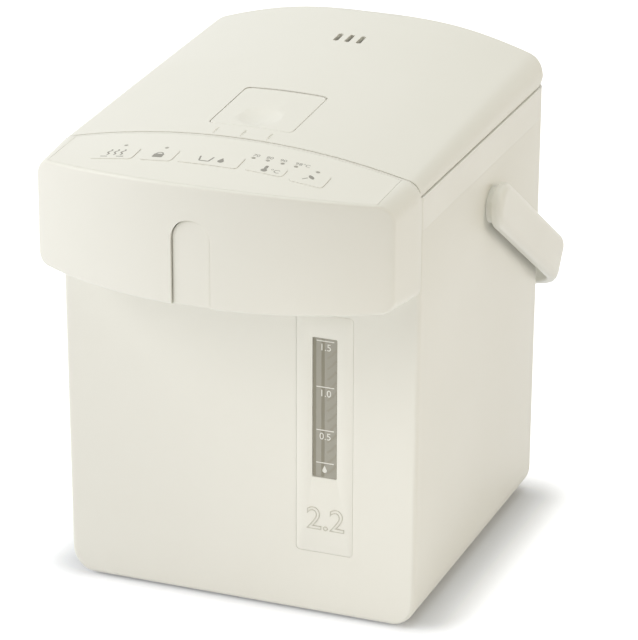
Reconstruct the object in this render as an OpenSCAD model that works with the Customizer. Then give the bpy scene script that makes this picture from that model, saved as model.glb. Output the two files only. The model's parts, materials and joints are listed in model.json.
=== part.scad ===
// Electric thermo pot with a 2.2 litre vessel, a motor pump and a hinged lid.
// The front of the body faces -Y. Parts are drawn with the body front at y = 0 and the floor
// at z = 0, and framed() then moves them so that the origin is the middle of the footprint.

/* [Body] */
// Space between the heat shield and each side wall, at the rim
side_room = 8.3; // [6:0.1:16]
// Space between the heat shield and the front wall, which takes the level tube
front_room = 13.3; // [13.3:0.1:20]
// Space between the heat shield and the rear wall
rear_room = 1.3; // [1.3:0.1:10]
// Wall of the body shell, the rim ring and the lid
body_wall = 2.5; // [2:0.1:3]
// Inward lean of each side wall, in degrees
body_draft = 0.4; // [0:0.1:1]
// Radius of the bottom corners, seen from the front
corner_r = 13; // [10:1:18]
// Radius of the upright front edges
front_r = 2.5; // [2:0.5:4]
// Radius of the upright rear edges
rear_r = 8; // [5:1:12]
// Height of the seam between body and rim ring
rim_z = 213; // [212:0.5:216]
// Height of the rim ring
ring_h = 17; // [16:0.5:20]

/* [Vessel] */
// Inner radius of the steel vessel
vessel_r = 81; // [76:0.5:88]
// Height of the vessel floor
vessel_z = 77.5; // [76:0.5:84]
// Sheet of the vessel and the heat shield
sheet = 0.8; // [0.5:0.1:1]
// Radial space between vessel and heat shield
shield_gap = 1.8; // [1.6:0.1:2]

/* [Head] */
// Reach of the head in front of the body
head_reach = 59; // [54:1:64]
// Radius of the bowed head front, seen from above
head_bow_r = 168; // [160:1:190]
// Step of the head side in from the body side, at its front corners
head_step = 2.2; // [2.2:0.2:5]
// Reach of the head below the rim seam, at the front
head_hang = 31; // [29:1:34]
// Drop of the head underside from front to rear
head_under_drop = 3; // [1:0.5:4]
// Drop of the front top edge of the head below the lid crown
brow_drop = 4.9; // [3:0.1:8]

/* [Lid] */
// Rise of the lid crown above the gap under the lid, at the front edge
crown_rise = 17.8; // [16:0.2:20]
// Slope of the crown towards the rear
crown_slope = 0.058; // [0.03:0.002:0.07]
// Radius of the crown, seen from the front
crown_r = 320; // [260:2:400]
// Radius of the lid shoulders
shoulder_r = 8; // [7:1:11]
// Radius of the lid's rear top edge
lid_rear_round = 6; // [5:0.5:12]
// Step of the lid side in from the body side
lid_step = 0.9; // [0.5:0.1:1.5]
// Gap between rim ring and lid
seam_gap = 0.6; // [0.4:0.1:1]
// Space between the vessel wall and the plug under the lid
plug_gap = 5; // [4.5:0.5:8]

/* [Lid lever] */
// Width of the lid lever
lever_w = 43.4; // [36:0.2:48]
// Length of the lid lever
lever_l = 48.5; // [46:0.5:54]
// Distance of the lever front edge behind the body front
lever_y = 15.5; // [14:0.5:18]

/* [Handle] */
// Gap between the body side and the handle arm
arm_gap = 3; // [3:0.5:7]
// Gap between the body rear and the grip of the stored handle, for the fingers
grip_gap = 12; // [8:0.5:16]
// Width of the handle band
handle_band = 23.5; // [20:0.5:26]
// Thickness of the handle arms
arm_t = 6; // [5.5:0.5:6]
// Thickness of the grip
grip_t = 9; // [8:0.5:9]
// Outer bend radius of the handle corners
handle_bend = 27; // [14:1:32]
// Distance of the handle pivot below the rim seam
pivot_drop = 21.4; // [20.4:0.2:27]
// Distance of the handle pivot in front of the body rear
pivot_back = 84; // [76:1:88]
// Angle of the stored handle below the horizontal
stow_angle = 33.6; // [32:0.2:42]

/* [Spout and gauge] */
// Width of the spout cover
spout_w = 19.6; // [18:0.2:24]
// Distance of the spout cover below the front top edge of the head
spout_drop = 17.7; // [15:0.1:22]
// Middle of the gauge panel
gauge_x = 45.5; // [40:0.5:46]
// Width of the gauge panel
gauge_w = 30; // [26:1:36]
// Foot of the gauge panel
gauge_z0 = 35; // [30:1:45]
// Top of the gauge panel
gauge_z1 = 163; // [158:1:168]
// Width of the level window
window_w = 13; // [11:0.5:15]
// Foot of the level window
window_z0 = 76; // [72:0.5:80]
// Top of the level window
window_z1 = 150.7; // [146:0.5:155]

/* [Keys] */
// Travel of each key
key_travel = 0.6; // [0.4:0.1:0.8]
// Gap round each key
key_gap = 0.35; // [0.3:0.05:0.5]
// Height of the keys above the control panel
key_proud = 0.3; // [0.1:0.1:0.5]
// Thickness of the control panel and the gauge panel
panel_t = 0.8; // [0.6:0.1:1]

/* [Feet] */
// Gap between the floor and the body
foot_h = 1.5; // [1:0.5:4]
// Radius of the rubber feet
foot_r = 9; // [7:0.5:12]

/* [Hidden] */

$fn = 64;

// Clearances
fit = 0.05;
slip = 0.3;
eps = 0.01;
far = 400;

// Colours
ivory = "#ECE9DC";
shade_ivory = "#DDD9C8";
steel = "#B9BCBD";
dark = "#4A4A48";
rubber = "#8A8880";
milky = "#D8DAD6";
board = "#3E6B4A";
copper = "#B98B5E";

// Heat shield round the vessel, and the body round the heat shield
shield_t = 0.6;
shield_r = vessel_r + sheet + shield_gap;
shield_out_r = shield_r + shield_t;
body_w = 2 * (shield_out_r + side_room + body_wall);
body_d = 2 * (shield_out_r + body_wall) + front_room + rear_room;
vessel_y = body_wall + front_room + shield_out_r;

// Heights and half widths of the body
seam_z = rim_z + ring_h;
lid_z = seam_z + seam_gap;
crown_z = lid_z + crown_rise;
head_brow_z = crown_z - brow_drop;
head_under_z = rim_z - head_hang;
spout_top_z = head_brow_z - spout_drop;
pivot_z = rim_z - pivot_drop;
body_top_w = body_w / 2;
lid_half_w = body_w / 2 - lid_step;
lid_front_y = 0.8;
function side_x(z) = body_w / 2 - (rim_z - z) * tan(body_draft);
function crown(x, y) = crown_z + crown_slope * y - x * x / (2 * crown_r);

// Handle, long enough to be stored behind the body
pivot_y = body_d - pivot_back;
handle_span = body_w + 2 * (arm_gap + arm_t);
handle_l = (pivot_back + grip_gap + handle_band / 2 * sin(stow_angle)) / cos(stow_angle)
    + grip_t;

// Footprint of the whole part, from the head front to the grip of the stored handle
stow_rear_y = pivot_y + handle_l * cos(stow_angle) + handle_band / 2 * sin(stow_angle);
origin_y = (stow_rear_y - head_reach) / 2;

// Lid hinge
hinge_y = body_d - 10;
hinge_z = lid_z + 9.9;
hinge_r = 2.5;
hinge_round = 9.8;
hinge_x = 50;
lug_w = 6;
lug_r = 5;

// Vessel stack
deck_z = rim_z + 3;
deck_t = 3;
packing_t = 1.5;
flange_r = shield_out_r + 0.8;
flange_z = deck_z - packing_t - sheet;
shield_z = vessel_z - 11.5;
heater_h = 50;
heater_plate_r = vessel_r - 33;
skirt_h = 4.5;

// Lid stack
tray_z = deck_z + deck_t + 2;
tray_t = 2.5;
tray_wall = 1.5;
tray_half_w = lid_half_w - body_wall - tray_wall;
tray_front_y = 5;
tray_rear_y = hinge_y - lug_r - 2;
tray_top_z = lid_z - 0.2;
plug_z = rim_z - 6;
plug_wall = 2;
plug_r = vessel_r - plug_gap;
steam_y = vessel_y + vessel_r - 32;
steam_r = 11;
slot_x = 3;
slot_y = steam_y - 6;
slot_pitch = 6.2;
slot_r = 1.35;
slot_run = 8;
lid_screw_r = 1.5;
lid_screw_x = tray_half_w - 8;
lid_screw_ys = [tray_front_y + 11, tray_rear_y - 12];

// Lever and latch
lever_gap = 0.4;
lever_rear_gap = 1.3;
lever_t = 2.2;
pin_r = 1.25;
pin_y = lever_y + lever_l - 2.5;
pin_z = crown(0, pin_y) - 3.2;
pocket_wall = 2.2;
pocket_z = lid_z + 6;
latch_w = 20;
latch_z = tray_z + tray_t + slip;
latch_t = 3;
latch_y = body_wall + slip;
latch_l = 34;

// Head
bow_cy = head_bow_r - head_reach;
head_half_w = body_w / 2 - head_step;
brow_sag = 0.00087;
brow_round = 1.5;
brow_corner = 10;
sill_corner = 6;
head_wall = 2.5;
panel_half_w = head_half_w - 7.8;
panel_edge = 1.8;
panel_rear = 2;
port_half_w = 60;
port_z0 = head_under_z + 1;
port_z1 = rim_z - skirt_h - 0.5;
cover_y0 = -6;
cover_half_w = head_half_w - 16.8;
cover_edge = 8;
cover_t = 2;
spout_cut = 9;
board_z = head_brow_z - 15.5;
board_t = 1.6;
board_half_w = 66;
switch_h = 3;
function bow_y(x) = bow_cy - sqrt(pow(head_bow_r, 2) - x * x);
function head_top(x, y) = crown(x, 0)
    + (head_brow_z - brow_sag * x * x - crown(x, 0)) * y / bow_y(x);

// Keys: left edge, right edge, front edge, rear edge
KEYS = [
    [-63, -41, -34.5, -21], [-37, -20.5, -34.5, -21], [-17.5, 13.2, -34, -21],
    [17, 36.2, -33, -24], [40, 57, -34.5, -21]
];
// Indicator lenses: left to right, and how far in front of the body
LENSES = [
    [-50.8, -17.5], [-28.7, -18.9], [16.2, -18.9], [23.5, -18.9], [31.1, -18.9],
    [38, -18.9], [49.2, -19.2]
];
lens_r = 1;
key_flange = key_gap + 0.35;

// Water path
tube_r = 5;
tube_bore = 3.8;
hose_r = 6;
stub_r = 4.5;
stub_bore = 3.2;
tube_x = gauge_x;
tube_y = body_wall + 7.5;
valve_r = 7;
ball_r = 4;
hose_z = rim_z - 12;
valve_z0 = hose_z - 17;
valve_z1 = hose_z + 6;
hose_bend = 20;
nozzle_y = -(head_reach - 13);
pump_r = 22;
pump_x = tube_x - 17;
pump_y = vessel_y - vessel_r + 29;
pump_z = 34;
pump_h = 20;
pump_wall = 2;
outlet_z = pump_z + pump_h / 2;
motor_r = 16;
motor_z = 7;
tube_z0 = outlet_z + 16;

// Base
lip_out_x = body_w / 2 - 18;
lip_in_x = lip_out_x - 9;
lip_front = 9;
lip_rear = body_d - 9;
lip_in = 7;
lip_t = 1;
plate_t = body_wall - lip_t;
screw_r = 1.5;
boss_r = 4;
base_screw_x = (lip_out_x + lip_in_x) / 2;
base_screw_ys = [40, body_d - 48];
foot_x = body_w / 2 - 35;
foot_ys = [26, body_d - 26];
post_r = 4;
post_reach = vessel_r - 7;
post_places = [for (a = [20, 160, 215, 325])
    [post_reach * cos(a), vessel_y + post_reach * sin(a)]];

// Power board under the vessel
power_x = -64;
power_y = body_d - 114;
power_w = 42;
power_l = 70;
power_z = 12;
power_post = 2;

// Power inlet
inlet_half_w = 23;
inlet_z0 = 30;
inlet_z1 = 56;

// Handle pivot
collar_r = 9.2;
collar_x = side_x(pivot_z + collar_r) + eps;
arm_in_x = handle_span / 2 - arm_t;
pivot_pin_r = 4;
stem_r = 6;
stem_x = body_top_w - 6.5;

module framed() {
    translate([0, -origin_y, 0]) children();
}

module ring(outer, inner, h) {
    difference() {
        cylinder(r = outer, h = h);
        translate([0, 0, -1]) cylinder(r = inner, h = h + 2);
    }
}

// A cylinder along X, from x to x + len
module x_rod(r, x, len, y, z) {
    translate([x, y, z]) rotate([0, 90, 0]) cylinder(r = r, h = len);
}

// A cylinder along -Y, from y back towards the front
module y_rod(r, y, len, x, z) {
    translate([x, y, z]) rotate([90, 0, 0]) cylinder(r = r, h = len);
}

module box(x0, x1, y0, y1, z0, z1) {
    translate([x0, y0, z0]) cube([x1 - x0, y1 - y0, z1 - z0]);
}

// Flat outline extruded along Y, drawn in X and Z
module along_y(y0, y1) {
    translate([0, y1, 0]) rotate([90, 0, 0]) linear_extrude(y1 - y0) children();
}

// Flat outline extruded along X, drawn in Y and Z
module along_x(x0, x1) {
    translate([x0, 0, 0]) rotate([90, 0, 90]) linear_extrude(x1 - x0) children();
}

// Outline of the body seen from above
module plan_outline(inset) {
    half = body_top_w + 1.5 - inset;
    hull() {
        for (side = [-1, 1]) {
            translate([side * (half - front_r), front_r + inset]) circle(front_r);
            translate([side * (half - rear_r), body_d - rear_r - inset]) circle(rear_r);
        }
    }
}

// Outline of the body seen from the front, with leaning sides and round bottom corners
module front_outline(inset) {
    top = seam_z + 60;
    offset(r = corner_r - inset) offset(delta = -corner_r)
        polygon([[-side_x(foot_h), foot_h], [side_x(foot_h), foot_h],
                 [side_x(top), top], [-side_x(top), top]]);
}

// The body form between two heights
module body_form(inset, z0, z1) {
    intersection() {
        along_y(-5, body_d + 5) intersection() {
            front_outline(inset);
            translate([-far / 2, z0]) square([far, z1 - z0]);
        }
        translate([0, 0, z0 - 1]) linear_extrude(z1 - z0 + 2) plan_outline(inset);
    }
}

// Outline of the lid crown and shoulders; the crown line is at zero
module crown_outline(inset) {
    offset(r = shoulder_r - inset) offset(delta = -shoulder_r) intersection() {
        translate([0, -crown_r]) circle(crown_r, $fn = 360);
        translate([-lid_half_w, -90]) square([2 * lid_half_w, 100]);
    }
}

// Outline of the lid seen from the side, round about the hinge at its lower rear
module lid_side_outline(inset, z0) {
    back = body_d - inset;
    intersection() {
        translate([lid_front_y + inset, z0]) square([far, far]);
        hull() {
            translate([lid_front_y, z0 - 5]) square([10, 60]);
            translate([lid_front_y, lid_z + inset]) square([hinge_y - lid_front_y, 10]);
            translate([hinge_y, hinge_z]) circle(hinge_round - inset);
            translate([back - lid_rear_round,
                       crown(0, body_d) - lid_rear_round - inset])
                circle(lid_rear_round);
        }
    }
}

// The lid form above a height
module lid_form(inset, z0) {
    intersection() {
        translate([0, 0, crown_z]) rotate([atan(crown_slope), 0, 0])
            along_y(-20, body_d + 30) crown_outline(inset);
        along_x(-far / 2, far / 2) lid_side_outline(inset, z0);
        translate([0, 0, z0 - 5]) linear_extrude(60) plan_outline(inset);
    }
}

// Height that a corner of radius r takes off an outline that ends at edge
function corner_cut(x, edge, r) =
    let (d = abs(x) - (edge - r)) d > 0 ? r - sqrt(max(0, r * r - d * d)) : 0;

// One upright sliver of the head form
module sliver(x, y, z0, z1) {
    translate([x, y, z0]) cube([eps, eps, z1 - z0]);
}

// The bowed head, drawn in as one convex form, reaching back to y = -inset
module head_form(inset) {
    front_edge = head_half_w - inset;
    rear_edge = body_top_w - inset;
    bow = head_bow_r - inset;
    hull() {
        for (t = [-90 : 7.5 : 90]) {
            xf = front_edge * sin(t);
            xr = rear_edge * sin(t);
            yf = bow_cy - sqrt(bow * bow - xf * xf);
            zf0 = head_under_z + inset + corner_cut(xf, front_edge, sill_corner);
            zf1 = head_brow_z - brow_sag * xf * xf - inset
                - corner_cut(xf, front_edge, brow_corner);
            sliver(xf, yf, zf0 + brow_round, zf1 - brow_round);
            sliver(xf * 0.99, yf + brow_round, zf0, zf1);
            sliver(xr, -inset - eps,
                   head_under_z - head_under_drop + inset
                   + corner_cut(xr, rear_edge, sill_corner),
                   crown(xr, 0) - inset - corner_cut(xr, rear_edge, brow_corner));
        }
    }
}

// ---------------------------------------------------------------- body and base

module gauge_recess(gap) {
    translate([gauge_x - gauge_w / 2 - gap, 0, gauge_z0 - gap])
        cube([gauge_w + 2 * gap, panel_t + 1, gauge_z1 - gauge_z0 + 2 * gap]);
}

module window_opening(gap, depth) {
    translate([gauge_x - window_w / 2 - gap, -1, window_z0 - gap])
        cube([window_w + 2 * gap, depth + 1, window_z1 - window_z0 + 2 * gap]);
}

module outer_body() {
    color(ivory) framed() difference() {
        union() {
            difference() {
                body_form(0, foot_h, rim_z);
                body_form(body_wall, foot_h - 5, rim_z + 5);
            }
            for (x = [-base_screw_x, base_screw_x], y = base_screw_ys)
                translate([x, y, foot_h + body_wall - 0.5]) cylinder(r = boss_r, h = 9);
        }
        box(-lip_out_x, lip_out_x, lip_front, lip_rear, 0, foot_h + plate_t);
        box(-lip_in_x, lip_in_x, lip_front + lip_in, lip_rear - lip_in, 0, 20);
        for (x = [-base_screw_x, base_screw_x], y = base_screw_ys)
            translate([x, y, 0]) cylinder(r = screw_r + fit, h = foot_h + 10);
        translate([0, -1, 0]) gauge_recess(0.1);
        window_opening(0.1, body_wall + 1);
        box(-port_half_w, port_half_w, -1, body_wall + 1, port_z0, port_z1);
        for (side = [-1, 1])
            x_rod(stem_r + fit, side > 0 ? body_top_w - 8 : -body_top_w - 2, 10,
                  pivot_y, pivot_z);
        box(-inlet_half_w - fit, inlet_half_w + fit, body_d - 8, body_d + 1,
            inlet_z0 - fit, inlet_z1 + fit);
    }
}

module base_plate() {
    color(shade_ivory) framed() difference() {
        union() {
            box(-lip_out_x + slip, lip_out_x - slip, lip_front + slip, lip_rear - slip,
                foot_h, foot_h + plate_t);
            box(-lip_in_x + slip, lip_in_x - slip, lip_front + lip_in + slip,
                lip_rear - lip_in - slip, foot_h, foot_h + body_wall);
            translate([pump_x, pump_y, foot_h + 1])
                ring(motor_r - 1, motor_r - 4, motor_z - foot_h - 1);
            for (x = [power_x + power_post, power_x + power_w - power_post],
                 y = [power_y + power_post, power_y + power_l - power_post])
                translate([x, y, foot_h + 1]) cylinder(r = 3, h = power_z - foot_h - 1);
        }
        for (x = [-base_screw_x, base_screw_x], y = base_screw_ys) {
            translate([x, y, 0]) cylinder(r = screw_r + 0.2, h = 20);
            translate([x, y, 0]) cylinder(r = 3.1, h = foot_h + 0.7);
        }
        for (x = [-foot_x, foot_x], y = foot_ys)
            translate([x, y, 0]) cylinder(r = 3 + fit, h = 20);
    }
}

// Posts that carry the heat shield
module shield_posts() {
    foot = foot_h + body_wall;
    color(shade_ivory) framed() for (p = post_places)
        translate([p[0], p[1], foot]) cylinder(r = post_r, h = shield_z - foot);
}

module feet() {
    color(rubber) framed() for (x = [-foot_x, foot_x], y = foot_ys)
        translate([x, y, 0]) {
            cylinder(r = foot_r, h = foot_h);
            cylinder(r = 3, h = foot_h + body_wall + 2);
            translate([0, 0, foot_h + body_wall + fit]) cylinder(r = 4, h = 1.2);
        }
}

module base_screws() {
    color(steel) framed() for (x = [-base_screw_x, base_screw_x], y = base_screw_ys)
        translate([x, y, foot_h + 0.1]) {
            cylinder(r = 3, h = 0.6);
            cylinder(r = screw_r, h = 9);
        }
}

module upper_ring() {
    lug_y0 = hinge_y - lug_r;
    strike_z = tray_z + tray_t - 0.5;
    color(ivory) framed() difference() {
        union() {
            difference() {
                body_form(0, rim_z, seam_z);
                body_form(body_wall, rim_z - 5, seam_z + 5);
            }
            difference() {
                body_form(body_wall + slip, rim_z - skirt_h, deck_z + 1);
                body_form(body_wall + slip + 1.5, rim_z - 9, deck_z + 5);
                translate([0, vessel_y, 0]) cylinder(r = flange_r + slip, h = deck_z);
            }
            difference() {
                body_form(1, deck_z, deck_z + deck_t);
                translate([0, vessel_y, deck_z - 1])
                    cylinder(r = vessel_r, h = deck_t + 2);
            }
            for (side = [-1, 1]) {
                x_rod(lug_r, side * hinge_x - lug_w / 2, lug_w, hinge_y, hinge_z);
                box(side * hinge_x - lug_w / 2, side * hinge_x + lug_w / 2, lug_y0,
                    hinge_y + lug_r, deck_z + 1, hinge_z);
            }
        }
        for (side = [-1, 1])
            x_rod(hinge_r + fit, side * hinge_x - lug_w, 2 * lug_w, hinge_y, hinge_z);
        box(-latch_w / 2 - 1, latch_w / 2 + 1, body_wall - 1.5, body_wall + 1,
            strike_z, strike_z + latch_t + 2);
    }
}

module power_inlet() {
    back_y = body_d - 16;
    color(dark) framed() difference() {
        union() {
            box(-inlet_half_w, inlet_half_w, back_y, body_d, inlet_z0, inlet_z1);
            box(-inlet_half_w - 3, inlet_half_w + 3, body_d - body_wall - 2,
                body_d - body_wall, inlet_z0 - 3, inlet_z1 + 3);
        }
        box(-inlet_half_w + 6, inlet_half_w - 6, body_d - 10, body_d + 1,
            inlet_z0 + 5, inlet_z1 - 5);
        for (x = [-8, 8])
            y_rod(1.5 + fit, body_d, 20, x, (inlet_z0 + inlet_z1) / 2);
    }
}

module inlet_pins() {
    color(copper) framed() for (x = [-8, 8])
        y_rod(1.5, body_d - 2, 16, x, (inlet_z0 + inlet_z1) / 2);
}

// ---------------------------------------------------------------- vessel and heater

module inner_container() {
    top = flange_z + sheet - vessel_z;
    color(steel) framed() difference() {
        translate([0, vessel_y, vessel_z]) {
            ring(vessel_r + sheet, vessel_r, top);
            translate([0, 0, -sheet]) cylinder(r = vessel_r + sheet, h = sheet);
            translate([0, 0, top - sheet]) ring(flange_r, vessel_r, sheet);
        }
        translate([pump_x, pump_y, 0]) cylinder(r = stub_r + 1 + fit, h = vessel_z + 1);
    }
}

module container_packing() {
    color(milky) framed() translate([0, vessel_y, flange_z + sheet])
        ring(flange_r, vessel_r + 0.3, packing_t);
}

module heat_shield() {
    height = flange_z - shield_z;
    color(steel) framed() translate([0, vessel_y, shield_z]) {
        ring(shield_out_r, shield_r, height);
        difference() {
            cylinder(r = shield_r + shield_t / 2, h = shield_t);
            translate([0, 0, -1]) cylinder(r = 30, h = 3);
            translate([pump_x, pump_y - vessel_y, -1]) cylinder(r = 9, h = 3);
        }
    }
}

module band_heater() {
    color(copper) framed() translate([0, vessel_y, vessel_z + 22])
        ring(vessel_r + sheet + 1.4, vessel_r + sheet + 0.2, heater_h);
}

module heater_plate() {
    color(steel) framed() translate([0, vessel_y, vessel_z - sheet - 2]) ring(heater_plate_r, 8, 2);
}

module thermistor() {
    color(copper) framed() translate([0, vessel_y, vessel_z - sheet - 7])
        cylinder(r = 6, h = 7);
}

module thermal_fuse() {
    top = vessel_z - sheet - 2;
    color(milky) framed() {
        box(-34, -16, vessel_y - 4, vessel_y + 4, top - 2, top);
        x_rod(2.5, -32, 14, vessel_y, top - 3);
    }
}

// ---------------------------------------------------------------- water path

module suction_pipe() {
    foot = pump_z + pump_h;
    color(milky) framed() translate([pump_x, pump_y, foot + 2]) difference() {
        union() {
            cylinder(r = stub_r + 1, h = vessel_z - foot - 2);
            translate([0, 0, vessel_z - sheet - foot - 4]) cylinder(r = 8, h = 2);
        }
        translate([0, 0, -1]) cylinder(r = stub_r - 0.5, h = vessel_z);
        translate([0, 0, -1]) cylinder(r = stub_r + fit, h = 8);
    }
}

module pump_housing() {
    color(milky) framed() difference() {
        union() {
            translate([pump_x, pump_y, pump_z]) cylinder(r = pump_r, h = pump_h);
            translate([pump_x, pump_y, pump_z + pump_h - 1]) cylinder(r = stub_r, h = 9);
            y_rod(stub_r, pump_y, pump_y - tube_y - 12, tube_x, outlet_z);
        }
        translate([pump_x, pump_y, pump_z + pump_wall])
            cylinder(r = pump_r - pump_wall, h = pump_h - 2 * pump_wall);
        translate([pump_x, pump_y, pump_z + pump_h - 3]) cylinder(r = stub_bore, h = 20);
        translate([pump_x, pump_y, pump_z - 1]) cylinder(r = 1.5 + fit, h = pump_wall + 2);
        y_rod(stub_bore, pump_y, 40, tube_x, outlet_z);
    }
}

module impeller() {
    blade = pump_r - pump_wall - 3;
    color(milky) framed() translate([pump_x, pump_y, pump_z + pump_wall + 1]) {
        cylinder(r = blade, h = 3);
        cylinder(r = 4, h = pump_h - 2 * pump_wall - 4);
        translate([0, 0, -pump_wall - 0.8]) cylinder(r = 1.5, h = pump_wall + 1);
        for (turn = [0 : 60 : 300])
            rotate(turn) translate([3, -0.6, 2]) cube([blade - 4, 1.2, 7]);
    }
}

module pump_motor() {
    color(steel) framed() translate([pump_x, pump_y, motor_z]) difference() {
        union() {
            cylinder(r = motor_r, h = 18);
            translate([0, 0, 17]) cylinder(r = 5, h = 3);
            for (turn = [90, 210, 330])
                rotate(turn) translate([motor_r - 3, 0, 0])
                    cylinder(r = 2.5, h = pump_z - motor_z);
        }
        translate([0, 0, 10]) cylinder(r = 1.5 + fit, h = 12);
    }
}

module motor_rotor() {
    color(dark) framed() translate([pump_x, pump_y, motor_z]) {
        translate([0, 0, 20 + slip]) cylinder(r = 8, h = 5);
        translate([0, 0, 11]) cylinder(r = 1.5, h = 10);
    }
}

module riser_elbow() {
    outer = tube_r + 1.5;
    color(rubber) framed() difference() {
        union() {
            translate([tube_x, tube_y, outlet_z]) sphere(r = outer);
            translate([tube_x, tube_y, outlet_z]) cylinder(r = outer, h = 24);
            y_rod(outer, tube_y + 17, 17, tube_x, outlet_z);
        }
        translate([tube_x, tube_y, outlet_z]) sphere(r = stub_bore);
        translate([tube_x, tube_y, outlet_z]) cylinder(r = stub_bore, h = 30);
        y_rod(stub_bore, tube_y + 30, 30, tube_x, outlet_z);
        translate([tube_x, tube_y, tube_z0]) cylinder(r = tube_r + fit, h = 30);
        y_rod(stub_r + fit, tube_y + 30, 18, tube_x, outlet_z);
    }
}

module gauge_tube() {
    color(milky) framed() translate([tube_x, tube_y, tube_z0])
        ring(tube_r, tube_bore, valve_z0 + 5 - tube_z0);
}

module tip_valve() {
    color(milky) framed() translate([tube_x, tube_y, valve_z0]) difference() {
        union() {
            cylinder(r = valve_r, h = valve_z1 - valve_z0);
            y_rod(stub_r, 0, tube_y + 8, 0, hose_z - valve_z0);
        }
        translate([0, 0, -1]) cylinder(r = tube_r + fit, h = 6 + slip);
        cylinder(r = tube_bore - 0.6, h = 8);
        translate([0, 0, 7]) cylinder(r = tube_r, h = valve_z1 - valve_z0 - 8.5);
        y_rod(stub_bore, 0, 40, 0, hose_z - valve_z0);
    }
}

module tip_valve_ball() {
    seat_r = tube_bore - 0.6;
    rest_h = sqrt(pow(ball_r + 0.1, 2) - pow(seat_r, 2));
    color(steel) framed() translate([tube_x, tube_y, valve_z0 + 7 + rest_h])
        sphere(r = ball_r);
}

module outlet_hose() {
    bend_x = tube_x - hose_bend;
    bend_y = nozzle_y + hose_bend;
    color(rubber) framed() translate([0, 0, hose_z]) difference() {
        union() {
            y_rod(hose_r, 0, -bend_y, tube_x, 0);
            translate([bend_x, bend_y, 0]) rotate([0, 0, -90])
                rotate_extrude(angle = 90) translate([hose_bend, 0]) circle(hose_r);
            x_rod(hose_r, 7, bend_x - 7, nozzle_y, 0);
        }
        y_rod(stub_r + fit, 1, 1 - bend_y, tube_x, 0);
        translate([bend_x, bend_y, 0]) rotate([0, 0, -90])
            rotate_extrude(angle = 90) translate([hose_bend, 0]) circle(stub_r + fit);
        x_rod(stub_r + fit, 6, bend_x - 6, nozzle_y, 0);
    }
}

module spout_nozzle() {
    foot = head_under_z - 2.5;
    top = hose_z + stub_r + 2;
    color(milky) framed() difference() {
        union() {
            translate([0, nozzle_y, foot]) cylinder(r = stub_r, h = top - foot);
            x_rod(stub_r - 0.5, 0, 15, nozzle_y, hose_z);
            x_rod(stub_r, 9, 6, nozzle_y, hose_z);
        }
        translate([0, nozzle_y, foot - 1]) cylinder(r = stub_bore, h = top - foot - 1);
        x_rod(stub_bore - 0.4, 0, 20, nozzle_y, hose_z);
    }
}

// ---------------------------------------------------------------- gauge

module gauge_panel() {
    color(ivory) framed() difference() {
        intersection() {
            gauge_recess(0);
            along_y(0, panel_t) offset(r = 2) offset(delta = -2)
                translate([gauge_x - gauge_w / 2, gauge_z0])
                    square([gauge_w, gauge_z1 - gauge_z0]);
        }
        window_opening(0, body_wall + 1);
    }
}

module gauge_window() {
    color(milky) framed() union() {
        intersection() {
            window_opening(-0.1, body_wall + 1);
            box(0, far, 0.1, body_wall, 0, far);
        }
        box(gauge_x - window_w / 2 - 2, gauge_x + window_w / 2 + 2, body_wall,
            body_wall + 1, window_z0 - 2, window_z1 + 2);
    }
}

module gauge_backing() {
    half = tube_r + 3;
    back = tube_y + tube_r + 2;
    color(shade_ivory) framed() difference() {
        box(tube_x - half, tube_x + half, body_wall + 1, back, window_z0 - 2,
            window_z1 + 2);
        box(tube_x - half + 1, tube_x + half - 1, 0, back - 1, 0, far);
    }
}

// ---------------------------------------------------------------- head

module spout_arch(gap, depth) {
    half = spout_w / 2 + gap;
    y0 = -head_reach - 2;
    y1 = -head_reach + depth;
    along_y(y0, y1) union() {
        translate([0, spout_top_z - spout_w / 2]) circle(half);
        translate([-half, head_under_z - 6])
            square([2 * half, spout_top_z - spout_w / 2 - head_under_z + 6]);
    }
}

// Plan outline with a bowed front, set back by edge from the head front
module bowed_outline(half, edge, rear_y) {
    bow = head_bow_r - edge;
    polygon(concat([for (t = [-1 : 0.1 : 1])
                        [half * t, bow_cy - sqrt(bow * bow - pow(half * t, 2))]],
                   [[half, rear_y], [-half, rear_y]]));
}

module panel_prism(gap) {
    linear_extrude(far)
        bowed_outline(panel_half_w - gap, panel_edge + gap, -panel_rear - gap);
}

module bottom_prism(gap) {
    linear_extrude(head_under_z + 12)
        bowed_outline(cover_half_w - gap, cover_edge + gap, cover_y0 - gap);
}

module key_prism(key, gap, z0) {
    box(key[0] - gap, key[1] + gap, key[2] - gap, key[3] + gap, z0, z0 + 60);
}

module lens_rods(r, z0) {
    for (p = LENSES) translate([p[0], p[1], z0]) cylinder(r = r, h = 40, $fn = 12);
}

module head_housing() {
    boss_z = board_z + board_t;
    color(ivory) framed() difference() {
        union() {
            difference() {
                head_form(0);
                head_form(head_wall);
            }
            intersection() {
                head_form(1);
                for (x = [-board_half_w + 4, board_half_w - 4], y = [-12, -39])
                    translate([x, y, boss_z]) cylinder(r = 3, h = 30, $fn = 12);
            }
        }
        difference() {
            panel_prism(0);
            translate([0, 0, -panel_t]) head_form(0);
            translate([-far, -far, -1]) cube([2 * far, 2 * far, head_under_z + 20]);
        }
        bottom_prism(0);
        for (key = KEYS) key_prism(key, key_gap, board_z + 4);
        lens_rods(lens_r + fit, board_z + 4);
        spout_arch(0.2, spout_cut);
        box(-port_half_w, port_half_w, -head_wall - 1, 1, port_z0, port_z1);
    }
}

module head_bottom_cover() {
    color(ivory) framed() difference() {
        intersection() {
            bottom_prism(0.2);
            head_form(0);
        }
        translate([0, 0, cover_t]) head_form(0);
        translate([0, nozzle_y, 0]) cylinder(r = stub_r + 0.2, h = far);
        spout_arch(0.6, spout_cut);
    }
}

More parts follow.
